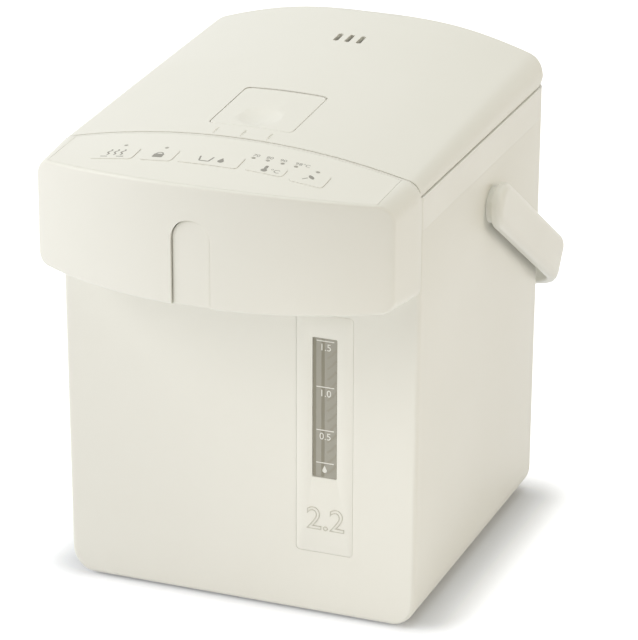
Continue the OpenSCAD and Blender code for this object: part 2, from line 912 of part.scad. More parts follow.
module control_panel() {
    color(shade_ivory) framed() difference() {
        intersection() {
            translate([0, 0, head_under_z + 20]) panel_prism(0.1);
            head_form(0);
        }
        translate([0, 0, -panel_t]) head_form(0);
        for (key = KEYS) key_prism(key, key_gap, board_z);
        lens_rods(lens_r + fit, board_z);
    }
}

// A key with a proud cap that follows the crown, a retaining flange and a stem
module key(k) {
    reach = max(abs(k[0]), abs(k[1])) + key_flange;
    flange_z = head_top(reach, k[2] - key_flange) - head_wall - slip;
    mid_x = (k[0] + k[1]) / 2;
    mid_y = (k[2] + k[3]) / 2;
    stem_z = board_z + board_t + switch_h + key_travel + 0.1;
    color(shade_ivory) framed() {
        intersection() {
            key_prism(k, 0, flange_z - 0.5);
            translate([0, 0, key_proud]) head_form(0);
        }
        box(k[0] - key_flange, k[1] + key_flange, k[2] - key_flange, k[3] + key_flange,
            flange_z - 1, flange_z);
        translate([mid_x, mid_y, stem_z]) cylinder(r = 1.5, h = flange_z - stem_z);
    }
}

module reboil_key() { key(KEYS[0]); }

module lock_key() { key(KEYS[1]); }

module dispense_key() { key(KEYS[2]); }

module temperature_key() { key(KEYS[3]); }

module eco_key() { key(KEYS[4]); }

module indicator_lenses() {
    color(milky) framed() intersection() {
        lens_rods(lens_r, board_z + board_t + 1);
        head_form(0.05);
    }
}

module control_board() {
    color(board) framed()
        box(-board_half_w, board_half_w, -41, -9, board_z, board_z + board_t);
}

module tact_switches() {
    color(dark) framed() for (k = KEYS)
        translate([(k[0] + k[1]) / 2 - 3, (k[2] + k[3]) / 2 - 3, board_z + board_t])
            cube([6, 6, switch_h]);
}

module spout_cover() {
    color(ivory) framed() {
        intersection() {
            spout_arch(0, spout_cut - 1.5);
            difference() {
                head_form(1.2);
                head_form(head_wall + 1.8);
            }
        }
    }
}

// ---------------------------------------------------------------- base electronics

module power_board() {
    color(board) framed() {
        translate([power_x, power_y, power_z]) {
            cube([power_w, power_l, board_t]);
            translate([0, 0, board_t]) {
                translate([6, 12, 0]) cube([24, 24, 18]);
                translate([8, 46, 0]) cube([8, 16, 12]);
                for (y = [44, 58]) translate([32, y, 0]) cylinder(r = 5, h = 16);
            }
        }
    }
}

// ---------------------------------------------------------------- lid

module lever_outline(gap, rear_gap) {
    half = lever_w / 2 + gap;
    y0 = lever_y - gap;
    y1 = lever_y + lever_l + rear_gap;
    offset(r = 3) offset(delta = -3) translate([-half, y0]) square([2 * half, y1 - y0]);
}

module lever_prism(gap, rear_gap, z0) {
    translate([0, 0, z0]) linear_extrude(60) lever_outline(gap, rear_gap);
}

module lid_outer() {
    knuckle_w = 6;
    color(ivory) framed() difference() {
        union() {
            difference() {
                lid_form(0, lid_z);
                lid_form(body_wall, lid_z - 5);
            }
            intersection() {
                lid_form(1, lid_z);
                union() {
                    lever_prism(lever_gap + pocket_wall, lever_rear_gap + pocket_wall,
                                pocket_z);
                    for (x = [-lid_screw_x, lid_screw_x], y = lid_screw_ys)
                        translate([x, y, lid_z]) cylinder(r = 4, h = 40);
                    for (side = [-1, 1], step = [-1, 1])
                        translate([side * hinge_x + step * (knuckle_w + 0.4)
                                   - knuckle_w / 2, hinge_y - 4, hinge_z - 4])
                            cube([knuckle_w, 8, 30]);
                }
            }
        }
        lever_prism(lever_gap, lever_rear_gap, pocket_z + 2);
        x_rod(pin_r + fit, -lever_w / 2 - 3, lever_w + 6, pin_y, pin_z);
        box(-5, 5, latch_y + 20, latch_y + 34, pocket_z - 1, pocket_z + 3);
        for (x = [-lid_screw_x, lid_screw_x], y = lid_screw_ys)
            translate([x, y, lid_z - 1]) cylinder(r = lid_screw_r + fit, h = 5);
        translate([0, steam_y, lid_z - 1]) cylinder(r = steam_r + fit, h = 5);
        for (side = [-1, 1]) {
            x_rod(hinge_r + fit, side * hinge_x - 10, 20, hinge_y, hinge_z);
            box(side * hinge_x - lug_w / 2 - 0.4, side * hinge_x + lug_w / 2 + 0.4,
                hinge_y - lug_r - 1, body_d + 5, lid_z - 5,
                hinge_z + lug_r + 1);
        }
        for (step = [-1 : 1])
            translate([slot_x + step * slot_pitch, slot_y, crown_z - 10]) {
                translate([-slot_r, -slot_run / 2, 0]) cube([2 * slot_r, slot_run, 40]);
                for (end = [-1, 1])
                    translate([0, end * slot_run / 2, 0]) cylinder(r = slot_r, h = 40);
            }
    }
}

module lid_inner() {
    floor_z = tray_z + tray_t;
    color(shade_ivory) framed() difference() {
        union() {
            box(-tray_half_w, tray_half_w, tray_front_y, tray_rear_y, tray_z, tray_top_z);
            translate([0, vessel_y, plug_z]) cylinder(r = plug_r, h = tray_z - plug_z + 1);
        }
        difference() {
            box(-tray_half_w + tray_wall, tray_half_w - tray_wall,
                tray_front_y + tray_wall, tray_rear_y - tray_wall, floor_z, far);
            for (x = [-lid_screw_x, lid_screw_x], y = lid_screw_ys)
                translate([x, y, 0]) cylinder(r = 4.5, h = lid_z);
        }
        translate([0, vessel_y, plug_z + plug_wall])
            cylinder(r = plug_r - plug_wall, h = tray_z - plug_z - plug_wall - 1);
        translate([0, steam_y, plug_z - 1]) cylinder(r = steam_r + fit, h = 40);
        for (x = [-lid_screw_x, lid_screw_x], y = lid_screw_ys) {
            translate([x, y, 0]) cylinder(r = lid_screw_r + 0.2, h = far);
            translate([x, y, tray_z - 1]) cylinder(r = 3.2, h = 2.4);
        }
        box(-latch_w / 2 - slip, latch_w / 2 + slip, 0, tray_front_y + 5,
            floor_z, floor_z + latch_t + 2 * slip);
    }
}

module inner_lid_disc() {
    color(steel) framed() difference() {
        translate([0, vessel_y, plug_z - sheet]) cylinder(r = plug_r + 1, h = sheet);
        for (turn = [0 : 72 : 288])
            translate([5 * cos(turn), steam_y + 5 * sin(turn), 0])
                cylinder(r = 1.5, h = far);
    }
}

module lid_gasket() {
    color(milky) framed() translate([0, vessel_y, plug_z + 4.5]) difference() {
        cylinder(r1 = vessel_r - 2, r2 = vessel_r - 1, h = 3);
        translate([0, 0, -1]) cylinder(r = plug_r, h = 5);
    }
}

module steam_pipe() {
    top = crown(steam_r, steam_y - steam_r) - body_wall - slip;
    color(milky) framed() translate([0, steam_y, plug_z])
        ring(steam_r, steam_r - 1.5, top - plug_z);
}

module lid_screws() {
    color(steel) framed() for (x = [-lid_screw_x, lid_screw_x], y = lid_screw_ys)
        translate([x, y, tray_z]) {
            cylinder(r = 3, h = 1.2);
            cylinder(r = lid_screw_r, h = lid_z - tray_z + 3.5);
        }
}

module hinge_pins() {
    color(steel) framed() for (side = [-1, 1])
        x_rod(hinge_r, side * hinge_x - 9, 18, hinge_y, hinge_z);
}

module lid_lever() {
    color(ivory) framed() difference() {
        union() {
            intersection() {
                lever_prism(0, 0, pocket_z + 2);
                difference() {
                    lid_form(0, lid_z);
                    translate([0, 0, -lever_t]) lid_form(0, lid_z - 10);
                }
            }
            intersection() {
                lever_prism(0, 0, pocket_z + 2);
                lid_form(0.2, lid_z);
                union() for (x = [-lever_w / 2 + 1, 7])
                    x_rod(2.8, x, lever_w / 2 - 8, pin_y, pin_z);
            }
        }
        x_rod(pin_r + fit, -lever_w, 2 * lever_w, pin_y, pin_z);
        x_rod(2.6, -6, 12, pin_y, pin_z);
        translate([0, lever_y + 11, crown(0, lever_y + 11) + 34.6])
            sphere(r = 36, $fn = 128);
    }
}

module lever_pin() {
    color(steel) framed() x_rod(pin_r, -lever_w / 2 - 2, lever_w + 4, pin_y, pin_z);
}

module lever_spring() {
    color(steel) framed() difference() {
        x_rod(2.3, -5, 10, pin_y, pin_z);
        x_rod(pin_r + fit, -6, 12, pin_y, pin_z);
    }
}

module lid_latch() {
    rise_y = latch_y + 22;
    lever_under = crown(lever_w / 2, rise_y) - lever_t - 2;
    color(milky) framed() {
        box(-latch_w / 2, latch_w / 2, latch_y, latch_y + latch_l, latch_z,
            latch_z + latch_t);
        box(-3.5, 3.5, rise_y, rise_y + 7, latch_z + latch_t - 0.5, lever_under);
    }
}

// ---------------------------------------------------------------- handle

module handle_outline() {
    half = handle_span / 2;
    bend_in = handle_bend - grip_t;
    difference() {
        offset(r = handle_bend) offset(delta = -handle_bend) translate([-half, -60])
            square([2 * half, handle_l + 60]);
        offset(r = bend_in) offset(delta = -bend_in) translate([-half + arm_t, -80])
            square([2 * half - 2 * arm_t, handle_l + 80 - grip_t]);
    }
}

module handle() {
    half_band = handle_band / 2;
    color(ivory) framed() translate([0, pivot_y, pivot_z])
        rotate([-stow_angle, 0, 0]) difference() {
            intersection() {
                translate([0, 0, -half_band]) linear_extrude(handle_band)
                    handle_outline();
                along_x(-handle_span, handle_span) union() {
                    circle(half_band);
                    translate([0, -half_band]) square([handle_l + 1, handle_band]);
                }
            }
            for (side = [-1, 1])
                x_rod(pivot_pin_r + fit, side > 0 ? arm_in_x - 1 : -arm_in_x - 4, 5, 0, 0);
        }
}

module handle_pivots() {
    color(ivory) framed() for (side = [0, 1]) mirror([side, 0, 0]) difference() {
        union() {
            x_rod(collar_r, collar_x, arm_in_x - slip - collar_x, pivot_y, pivot_z);
            x_rod(stem_r, stem_x, collar_x - stem_x + 1, pivot_y, pivot_z);
            x_rod(pivot_pin_r, collar_x, arm_in_x + 3.8 - collar_x, pivot_y, pivot_z);
        }
        x_rod(screw_r + fit, stem_x - 1, 9, pivot_y, pivot_z);
    }
}

module pivot_screws() {
    color(steel) framed() for (side = [0, 1]) mirror([side, 0, 0]) {
        x_rod(7.5, stem_x - 1.5, 1.5, pivot_y, pivot_z);
        x_rod(screw_r, stem_x - 1, 8, pivot_y, pivot_z);
    }
}

outer_body();
upper_ring();
base_plate();
shield_posts();
feet();
base_screws();
head_housing();
head_bottom_cover();
control_panel();
reboil_key();
lock_key();
dispense_key();
temperature_key();
eco_key();
indicator_lenses();
control_board();
tact_switches();
spout_cover();
spout_nozzle();
outlet_hose();
tip_valve();
tip_valve_ball();
gauge_panel();
gauge_window();
gauge_backing();
gauge_tube();
riser_elbow();
suction_pipe();
pump_housing();
impeller();
pump_motor();
motor_rotor();
inner_container();
container_packing();
heat_shield();
band_heater();
heater_plate();
thermistor();
thermal_fuse();
power_board();
power_inlet();
inlet_pins();
lid_outer();
lid_inner();
inner_lid_disc();
lid_gasket();
steam_pipe();
lid_screws();
lid_lever();
lever_pin();
lever_spring();
lid_latch();
hinge_pins();
handle();
handle_pivots();
pivot_screws();
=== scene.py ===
import json
import logging
from dataclasses import dataclass
from enum import Enum
from math import asin, atan2, cos, degrees, hypot, pi, radians, sin, sqrt, tan, tau
from typing import Any, Callable, Iterable, Sequence

import bpy
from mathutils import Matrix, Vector

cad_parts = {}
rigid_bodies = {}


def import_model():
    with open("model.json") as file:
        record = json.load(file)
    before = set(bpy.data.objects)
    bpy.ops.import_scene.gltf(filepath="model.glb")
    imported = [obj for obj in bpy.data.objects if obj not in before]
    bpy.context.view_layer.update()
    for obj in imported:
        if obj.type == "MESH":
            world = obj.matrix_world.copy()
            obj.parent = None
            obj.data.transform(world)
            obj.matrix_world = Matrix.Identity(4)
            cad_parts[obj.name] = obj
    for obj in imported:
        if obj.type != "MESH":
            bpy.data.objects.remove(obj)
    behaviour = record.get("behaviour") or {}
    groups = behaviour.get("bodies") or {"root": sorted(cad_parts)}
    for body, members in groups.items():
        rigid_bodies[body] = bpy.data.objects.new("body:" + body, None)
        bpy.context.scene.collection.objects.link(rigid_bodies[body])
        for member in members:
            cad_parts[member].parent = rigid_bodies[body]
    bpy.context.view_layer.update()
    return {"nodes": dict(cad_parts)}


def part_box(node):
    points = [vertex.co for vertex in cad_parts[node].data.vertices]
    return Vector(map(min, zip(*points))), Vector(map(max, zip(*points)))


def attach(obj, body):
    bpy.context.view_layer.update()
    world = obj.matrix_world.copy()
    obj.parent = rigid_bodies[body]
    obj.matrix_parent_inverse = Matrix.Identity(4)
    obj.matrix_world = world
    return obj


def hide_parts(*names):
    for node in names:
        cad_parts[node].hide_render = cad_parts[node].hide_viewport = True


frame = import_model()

logging.basicConfig(level=logging.INFO, format="%(message)s")
LOG = logging.getLogger("thermo_pot")

MM = 0.001
FRONT_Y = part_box("outer_body")[0].y / MM
BODY_DEPTH = 188.0
WALL = 2.5
SMOOTH_ANGLE = 32.0
MERGE_DISTANCE = 0.002 * MM
HEAD_AND_LID_SPAN = (225, 270)
Point = tuple[float, float, float]
Flat = tuple[float, float]
Line = list[Flat]
Ring = list[Point]
Piece = bpy.types.Object
Socket = bpy.types.NodeSocket


class Body(Enum):
    """The rigid bodies that pieces ride on."""

    HOUSING = "housing"
    LID = "lid"
    LEVER = "lever"
    HANDLE = "handle"
    REBOIL = "reboil_key"
    LOCK = "lock_key"
    DISPENSE = "dispense_key"
    TEMPERATURE = "temperature_key"
    ECO = "eco_key"


class Slot(Enum):
    """The material slots of the visible pieces; print is part of the trim."""

    SHELL = "ivory_shell"
    TRIM = "ivory_trim"
    WINDOW = "window"
    PRINT = "ivory_trim"
    LIGHTS = "clear_tube"


# ---- outlines


def at(x: float, y: float, z: float) -> Vector:
    """Point in metres from millimetres, with y measured from the body front."""
    return Vector((x, y + FRONT_Y, z)) * MM


def arc(cx: float, cy: float, r: float, start: float, end: float, steps: int) -> Line:
    """Points on an arc.

    Args:
        cx, cy: Centre.
        r: Radius.
        start, end: Angles in degrees.
        steps: Number of chords.

    Returns:
        steps + 1 points.
    """
    turn = [radians(start + (end - start) * i / steps) for i in range(steps + 1)]
    return [(cx + r * cos(a), cy + r * sin(a)) for a in turn]


def circle(cx: float, cy: float, r: float, steps: int = 24) -> Line:
    """Points on a full circle."""
    return arc(cx, cy, r, 0, 360 - 360 / steps, steps - 1)


def between(a: Flat, b: Flat, runs: int) -> Line:
    """Points that cut the stretch from a to b into equal runs, without its ends."""
    return [(a[0] + (b[0] - a[0]) * i / runs, a[1] + (b[1] - a[1]) * i / runs)
            for i in range(1, runs)]


def rounded_rect(x0: float, x1: float, y0: float, y1: float, radii: float | Sequence[float],
                 steps: int = 8, runs: int = 1) -> Line:
    """Outline of a rectangle with round corners, anticlockwise from the lower left.

    Args:
        x0, x1, y0, y1: Sides.
        radii: One corner radius, or those at lower left, lower right, upper right and
            upper left.
        steps: Chords in each corner.
        runs: Pieces that each straight side is cut into.

    Returns:
        The points.
    """
    if isinstance(radii, (int, float)):
        radii = [radii] * 4
    centres = [(x0, y0, 1, 1, 180), (x1, y0, -1, 1, 270), (x1, y1, -1, -1, 0), (x0, y1, 1, -1, 90)]
    points: Line = []
    for (cx, cy, sx, sy, start), r in zip(centres, radii):
        corner = arc(cx + sx * r, cy + sy * r, r, start, start + 90, steps)
        if points:
            points += between(points[-1], corner[0], runs)
        points += corner
    return points + between(points[-1], points[0], runs)


def span(half: float, runs: int) -> list[float]:
    """Places from -half to half, in equal runs."""
    return [half * (2 * i / runs - 1) for i in range(runs + 1)]


def mirrored(line: Sequence[Flat]) -> Line:
    """A line on the other side of the middle, from its far end back."""
    return [(-x, z) for x, z in reversed(line)]


def fillet(edge: float, steps: int) -> Line:
    """Steps inwards and back, of 0 to edge, around a rounded edge from its far side."""
    return [(edge * (1 - cos(a)), edge * (1 - sin(a)))
            for a in (radians(90 - 90 / steps * i) for i in range(steps + 1))]


def round_off(height: float, r: float) -> float:
    """How far a round corner of radius r is drawn in at a height above its foot."""
    return r - sqrt(max(r ** 2 - (r - height) ** 2, 0)) if height < r else 0.0


def upright(outline: Iterable[Flat], y: float) -> Ring:
    """An outline in x and z, put at a depth y."""
    return [(x, y, z) for x, z in outline]


def about_x(profile: Sequence[Flat], y: float, z: float, steps: int) -> list[Ring]:
    """Rings of a turned form about an axis along X, from (x, radius) pairs."""
    return [[(x, y + r * cos(tau * i / steps), z + r * sin(tau * i / steps))
             for i in range(steps)] for x, r in profile]


# ---- pieces


def activate(*pieces: Piece) -> None:
    """Leaves edit mode and selects only these pieces, with the first one active.

    Args:
        *pieces: The pieces, or none to select nothing.
    """
    if bpy.context.object and bpy.context.object.mode != "OBJECT":
        bpy.ops.object.mode_set(mode="OBJECT")
    bpy.ops.object.select_all(action="DESELECT")
    for piece in pieces:
        piece.select_set(True)
    if pieces:
        bpy.context.view_layer.objects.active = pieces[0]


def settle(piece: Piece) -> Piece:
    """Applies a piece's place, turn and scale to its mesh.

    Args:
        piece: The piece.

    Returns:
        The piece.
    """
    activate(piece)
    bpy.ops.object.transform_apply(location=True, rotation=True, scale=True)
    return piece


def created(name: str, operator: Callable[..., Any], **settings: Any) -> Piece:
    """Adds an object with one of Blender's operators, and names it and its data.

    Args:
        name: Name of the object.
        operator: The operator that adds it.
        **settings: The operator's settings.

    Returns:
        The object.
    """
    activate()
    operator(**settings)
    piece = bpy.context.object
    piece.name = piece.data.name = name
    return piece


def step_on_circle(x: float, y: float, count: int) -> int:
    """Which of the points of a circle, counted from the top, lies at a place."""
    return round(atan2(x, y) / tau * count) % count


def loft(name: str, rings: Sequence[Sequence[Point]], wrap: bool = False,
         folded: bool = False) -> Piece:
    """A closed form through rings of points, extruded ring by ring from a circle.

    Args:
        name: Name of the piece.
        rings: Rings with the same number of points, in millimetres.
        wrap: Joins the last ring to the first, in place of two end faces.
        folded: The first ring is folded onto a line, so that it needs no end face.

    Returns:
        The piece.
    """
    count = len(rings[0])
    piece = created(name, bpy.ops.mesh.primitive_circle_add, vertices=count, radius=1,
                    fill_type="NOTHING")
    bpy.ops.object.mode_set(mode="EDIT")
    bpy.ops.mesh.select_all(action="SELECT")
    for _ in rings[1:]:
        bpy.ops.mesh.extrude_region_move(TRANSFORM_OT_translate={"value": (0, 0, 1)})
    bpy.ops.object.mode_set(mode="OBJECT")
    levels: list[set[int]] = [set() for _ in rings]
    for vertex in piece.data.vertices:
        level = round(vertex.co.z)
        levels[level].add(vertex.index)
        vertex.co = at(*rings[level][step_on_circle(vertex.co.x, vertex.co.y, count)])
    if wrap:
        close_ends(piece, [levels[0], levels[-1]], bpy.ops.mesh.bridge_edge_loops)
    else:
        for end in levels[-1:] if folded else (levels[0], levels[-1]):
            close_ends(piece, [end], bpy.ops.mesh.edge_face_add)
    bpy.ops.object.mode_set(mode="EDIT")
    bpy.ops.mesh.select_all(action="SELECT")
    bpy.ops.mesh.remove_doubles(threshold=MERGE_DISTANCE)
    bpy.ops.mesh.normals_make_consistent(inside=False)
    shade(piece)
    return piece


def close_ends(piece: Piece, ends: Sequence[set[int]], close: Callable[[], Any]) -> None:
    """Selects the edges within each set of vertices and closes them with an operator.

    Args:
        piece: The piece.
        ends: Sets of vertex numbers.
        close: The operator that closes the selected edges.
    """
    for vertex in piece.data.vertices:
        vertex.select = any(vertex.index in end for end in ends)
    for edge in piece.data.edges:
        edge.select = any(set(edge.vertices) <= end for end in ends)
    for face in piece.data.polygons:
        face.select = False
    bpy.ops.object.mode_set(mode="EDIT")
    bpy.ops.mesh.select_mode(type="EDGE")
    close()
    bpy.ops.object.mode_set(mode="OBJECT")


def shade(piece: Piece, angle: float = SMOOTH_ANGLE) -> None:
    """Shades a piece smooth where its faces meet under an angle in degrees."""
    activate(piece)
    bpy.ops.object.shade_smooth_by_angle(angle=radians(angle))


def modify(piece: Piece, kind: str, **settings: Any) -> None:
    """Adds a modifier with its settings to a piece and applies it.

    Args:
        piece: The piece.
        kind: Type of the modifier.
        **settings: Attributes of the modifier.
    """
    activate(piece)
    change = piece.modifiers.new("change", kind)
    for key, value in settings.items():
        setattr(change, key, value)
    bpy.ops.object.modifier_apply(modifier=change.name)


def carve(piece: Piece, *cutters: Piece, operation: str = "DIFFERENCE") -> Piece:
    """Cuts other pieces out of a piece, or joins them to it, and removes them.

    Args:
        piece: The piece that is changed.
        *cutters: The other pieces.
        operation: DIFFERENCE, INTERSECT or UNION.

    Returns:
        The changed piece.
    """
    for cutter in cutters:
        modify(piece, "BOOLEAN", operation=operation, solver="EXACT", object=cutter)
        bpy.data.objects.remove(cutter)
    shade(piece)
    return piece


def bevel(piece: Piece, width: float, segments: int, angle: float = 40.0,
          smooth: float | None = None) -> None:
    """Rounds a piece's sharp edges.

    Args:
        piece: The piece.
        width: Width in millimetres.
        segments: Faces across the rounding.
        angle: Edges sharper than this angle in degrees are rounded.
        smooth: Angle in degrees under which edges are then shaded smooth, if given.
    """
    modify(piece, "BEVEL", width=width * MM, segments=segments, limit_method="ANGLE",
           angle_limit=radians(angle), use_clamp_overlap=True)
    if smooth is not None:
        shade(piece, smooth)


def join(pieces: Sequence[Piece]) -> Piece:
    """Joins pieces one by one to the first of them.

    Args:
        pieces: The pieces.

    Returns:
        The first piece.
    """
    for piece in pieces[1:]:
        activate(pieces[0], piece)
        bpy.ops.object.join()
    return pieces[0]


def copy_of(piece: Piece, lift: float = 0.0) -> Piece:
    """A copy of a piece, lifted by millimetres.

    Args:
        piece: The piece.
        lift: How far the copy is lifted.

    Returns:
        The copy.
    """
    activate(piece)
    bpy.ops.object.duplicate()
    twin = bpy.context.object
    twin.location.z += lift * MM
    return settle(twin)


def block(name: str, x0: float, x1: float, y0: float, y1: float, z0: float, z1: float,
          edge: float = 0.0) -> Piece:
    """A block between two corners in millimetres, with rounded edges if asked.

    Args:
        name: Name of the piece.
        x0, x1, y0, y1, z0, z1: The two corners.
        edge: Width of the rounding, or 0 for sharp edges.

    Returns:
        The block.
    """
    low, high = at(x0, y0, z0), at(x1, y1, z1)
    piece = created(name, bpy.ops.mesh.primitive_cube_add, size=1, location=(low + high) / 2)
    piece.scale = high - low
    settle(piece)
    if edge:
        bevel(piece, edge, 3, smooth=40)
    return piece


def prism(outline: Sequence[Flat], z0: float, z1: float) -> Piece:
    """An upright cutter with an outline in x and y."""
    return loft("cut", [[(x, y, z) for x, y in outline] for z in (z0, z1)])


def slab(outline: Sequence[Flat], y0: float, y1: float) -> Piece:
    """A straight cutter with an outline in x and z."""
    return loft("cut", [upright(outline, y) for y in (y0, y1)])


def rod(x0: float, x1: float, r: float, y: float, z: float, steps: int) -> Piece:
    """A round cutter along X."""
    return loft("cut", about_x([(x0, r), (x1, r)], y, z, steps))


def sheet_of(outline: Sequence[Flat], form: Piece, top: float, bottom: float) -> Piece:
    """A sheet that follows a form's top within an outline in x and y.

    Args:
        outline: Outline of the sheet.
        form: The form to follow.
        top, bottom: How far the sheet's faces lie above the form's top.

    Returns:
        The sheet.
    """
    sheet = carve(prism(outline, *HEAD_AND_LID_SPAN), copy_of(form, top), operation="INTERSECT")
    return carve(sheet, copy_of(form, bottom))


# ---- materials


def linear(hex_code: str) -> tuple[float, float, float, float]:
    """Turns an sRGB hex colour into linear RGBA.

    Args:
        hex_code: Six hexadecimal digits.

    Returns:
        Red, green, blue and alpha.
    """
    channels = [int(hex_code[i:i + 2], 16) / 255 for i in (0, 2, 4)]
    return (*[c / 12.92 if c <= 0.04045 else ((c + 0.055) / 1.055) ** 2.4
              for c in channels], 1.0)


def feed(node: bpy.types.Node, inputs: dict[str | int, Any]) -> None:
    """Sets a node's inputs, by name or index, to values or links them to output sockets.

    Args:
        node: The node.
        inputs: Input name or index to a value or an output socket.
    """
    for key, value in inputs.items():
        if isinstance(value, Socket):
            node.id_data.links.new(value, node.inputs[key])
        else:
            node.inputs[key].default_value = value


def add_node(tree: bpy.types.NodeTree, kind: str, inputs: dict[str | int, Any] | None = None,
             output: str | int = 0, **settings: Any) -> Socket:
    """Adds a shader node.

    Args:
        tree: The node tree.
        kind: The node's type name without "ShaderNode".
        inputs: Input name or index to a value, or to the output socket that feeds it.
        output: Name or index of the output that is wanted.
        **settings: Attributes to set.

    Returns:
        The output.
    """
    node = tree.nodes.new(f"ShaderNode{kind}")
    for key, value in settings.items():
        setattr(node, key, value)
    feed(node, inputs or {})
    return node.outputs[output]


def noise(place: Socket, scale: float, detail: float = 2.0) -> Socket:
    """A noise with a number of features in each metre."""
    return add_node(place.id_data, "TexNoise", {"Vector": place, "Scale": scale,
                                                "Detail": detail}, "Fac")


def bumps(height: Socket, strength: float, depth_mm: float) -> Socket:
    """Normals of a surface whose height follows a noise."""
    return add_node(height.id_data, "Bump", {"Height": height, "Strength": strength,
                                             "Distance": depth_mm * MM}, "Normal")


def spread(source: Socket, middle: float, reach: float) -> Socket:
    """A value that follows a noise within a reach on both sides of its middle."""
    return add_node(source.id_data, "MapRange", {"Value": source, "To Min": middle - reach,
                                                 "To Max": middle + reach}, "Result")


@dataclass(frozen=True)
class Coat:
    """What every finish has: the material's name and its colour."""

    name: str
    colour: str

    def build(self) -> bpy.types.Material:
        """Makes the material."""
        material, tree, shader = blank_material(self.name)
        place = add_node(tree, "TexCoord", output="Object")
        feed(shader, {"Base Color": linear(self.colour), **self.inputs(place)})
        return material

    def inputs(self, place: Socket) -> dict[str, Any]:
        """The shader's inputs, from a socket with places on the piece."""
        raise NotImplementedError


@dataclass(frozen=True)
class Plastic(Coat):
    """Moulded plastic: an even colour, a faint mottle and a fine moulded grain.

    The grain is the spark-eroded texture of the mould. Real grain is about 0.1 mm across and
    is drawn at grain_mm, as fine as the render can show.
    """

    mottle: str
    roughness: float = 0.42
    grain_mm: float = 0.5
    grain_depth: float = 0.012
    grain_strength: float = 0.35
    mottle_scale: float = 18.0
    mottle_detail: float = 3.0
    gloss_reach: float = 0.03

    def inputs(self, place: Socket) -> dict[str, Any]:
        """Mottled colour and gloss, and a grain."""
        cloud = noise(place, self.mottle_scale, self.mottle_detail)
        grain = noise(place, 1 / (self.grain_mm * MM))
        colours = {0: cloud, 6: linear(self.colour), 7: linear(self.mottle)}
        return {"Base Color": add_node(cloud.id_data, "Mix", colours, 2, data_type="RGBA"),
                "Roughness": spread(cloud, self.roughness, self.gloss_reach),
                "Normal": bumps(grain, self.grain_strength, self.grain_depth)}


@dataclass(frozen=True)
class SheetMetal(Coat):
    """Rolled sheet metal with fine rolling lines along one axis."""

    roughness: float = 0.28
    line_mm: float = 0.4
    stretch: float = 0.02
    gloss_reach: float = 0.08

    def inputs(self, place: Socket) -> dict[str, Any]:
        """Metal whose gloss follows the rolling lines."""
        along = add_node(place.id_data, "Mapping", {"Vector": place,
                                                    "Scale": (1, 1, self.stretch)})
        lines = noise(along, 1 / (self.line_mm * MM))
        return {"Roughness": spread(lines, self.roughness, self.gloss_reach), "Metallic": 1.0}


@dataclass(frozen=True)
class ClearPlastic(Coat):
    """Frosted plastic with a slight waviness from moulding."""

    roughness: float
    clearness: float
    wave_scale: float = 60.0
    wave_strength: float = 0.2
    wave_depth: float = 0.05
    ior: float = 1.49

    def inputs(self, place: Socket) -> dict[str, Any]:
        """A partly clear body under a wavy surface."""
        waves = noise(place, self.wave_scale)
        return {"Normal": bumps(waves, self.wave_strength, self.wave_depth),
                "Roughness": self.roughness, "Transmission Weight": self.clearness,
                "IOR": self.ior}


def blank_material(name: str) -> tuple[bpy.types.Material, bpy.types.NodeTree, bpy.types.Node]:
    """A new node material with its tree and its shader node.

    Args:
        name: Name of the material.

    Returns:
        The material, its tree and its shader node.
    """
    material = bpy.data.materials.new(name)
    material.use_nodes = True
    tree = material.node_tree
    return material, tree, tree.nodes["Principled BSDF"]


class Finish(Enum):
    """All finishes of the pot."""

    SHELL = Plastic("ivory_moulded_abs", "EDECE5", "EAE9E1")
    TRIM = Plastic("ivory_satin_film", "EEEDE6", "EBEAE2", 0.36, 0.8, 0.004)
    LINER = Plastic("ivory_moulded_polypropylene", "E4E2D8", "E0DED3", 0.5)
    MILKY = Plastic("milky_polypropylene", "D2D4CF", "CBCDC8", 0.35)
    SILICONE = Plastic("moulded_silicone", "C9C7BE", "C2C0B6", 0.6)
    RUBBER = Plastic("moulded_rubber", "77756F", "6D6B65", 0.75, 0.6, 0.03)
    DARK = Plastic("dark_moulded_nylon", "3C3B38", "33322F", 0.5)
    CIRCUIT = Plastic("coated_laminate", "3B6A49", "32593E", 0.35)
    INK = Plastic("grey_printing_ink", "9A9890", "939189", 0.5, 0.5, 0.0)
    PALE_INK = Plastic("pale_printing_ink", "E9E8E2", "E3E2DC", 0.5, 0.5, 0.0)
    LINE_INK = Plastic("light_grey_printing_ink", "CFCDC2", "CAC8BD", 0.5, 0.5, 0.0)
    STEEL = SheetMetal("rolled_stainless_steel", "C4C6C7")
    LENS = Plastic("grey_light_lens", "A9A79D", "A3A197", 0.3, 0.5, 0.0)
    ZINC = SheetMetal("zinc_plated_steel", "B4B6B8", 0.35)
    COPPER = SheetMetal("bare_contact_brass", "C69A62", 0.35)
    WINDOW = ClearPlastic("clear_window_acrylic", "AFACA0", 0.1, 0.15)
    # painted shade: a flat dark colour for the shaded edges of the clear level tube
    BAND = Plastic("painted_tube_edge_shade", "8B877A", "86826F", 0.4, 0.5, 0.0)
    HATCH = Plastic("float_stripe_tint", "999588", "949082", 0.4, 0.5, 0.0)

    def cover(self, piece: Piece) -> None:
        """Gives a piece the finish, whose material is made at its first use."""
        name = self.value.name
        piece.data.materials.clear()
        piece.data.materials.append(bpy.data.materials.get(name) or self.value.build())


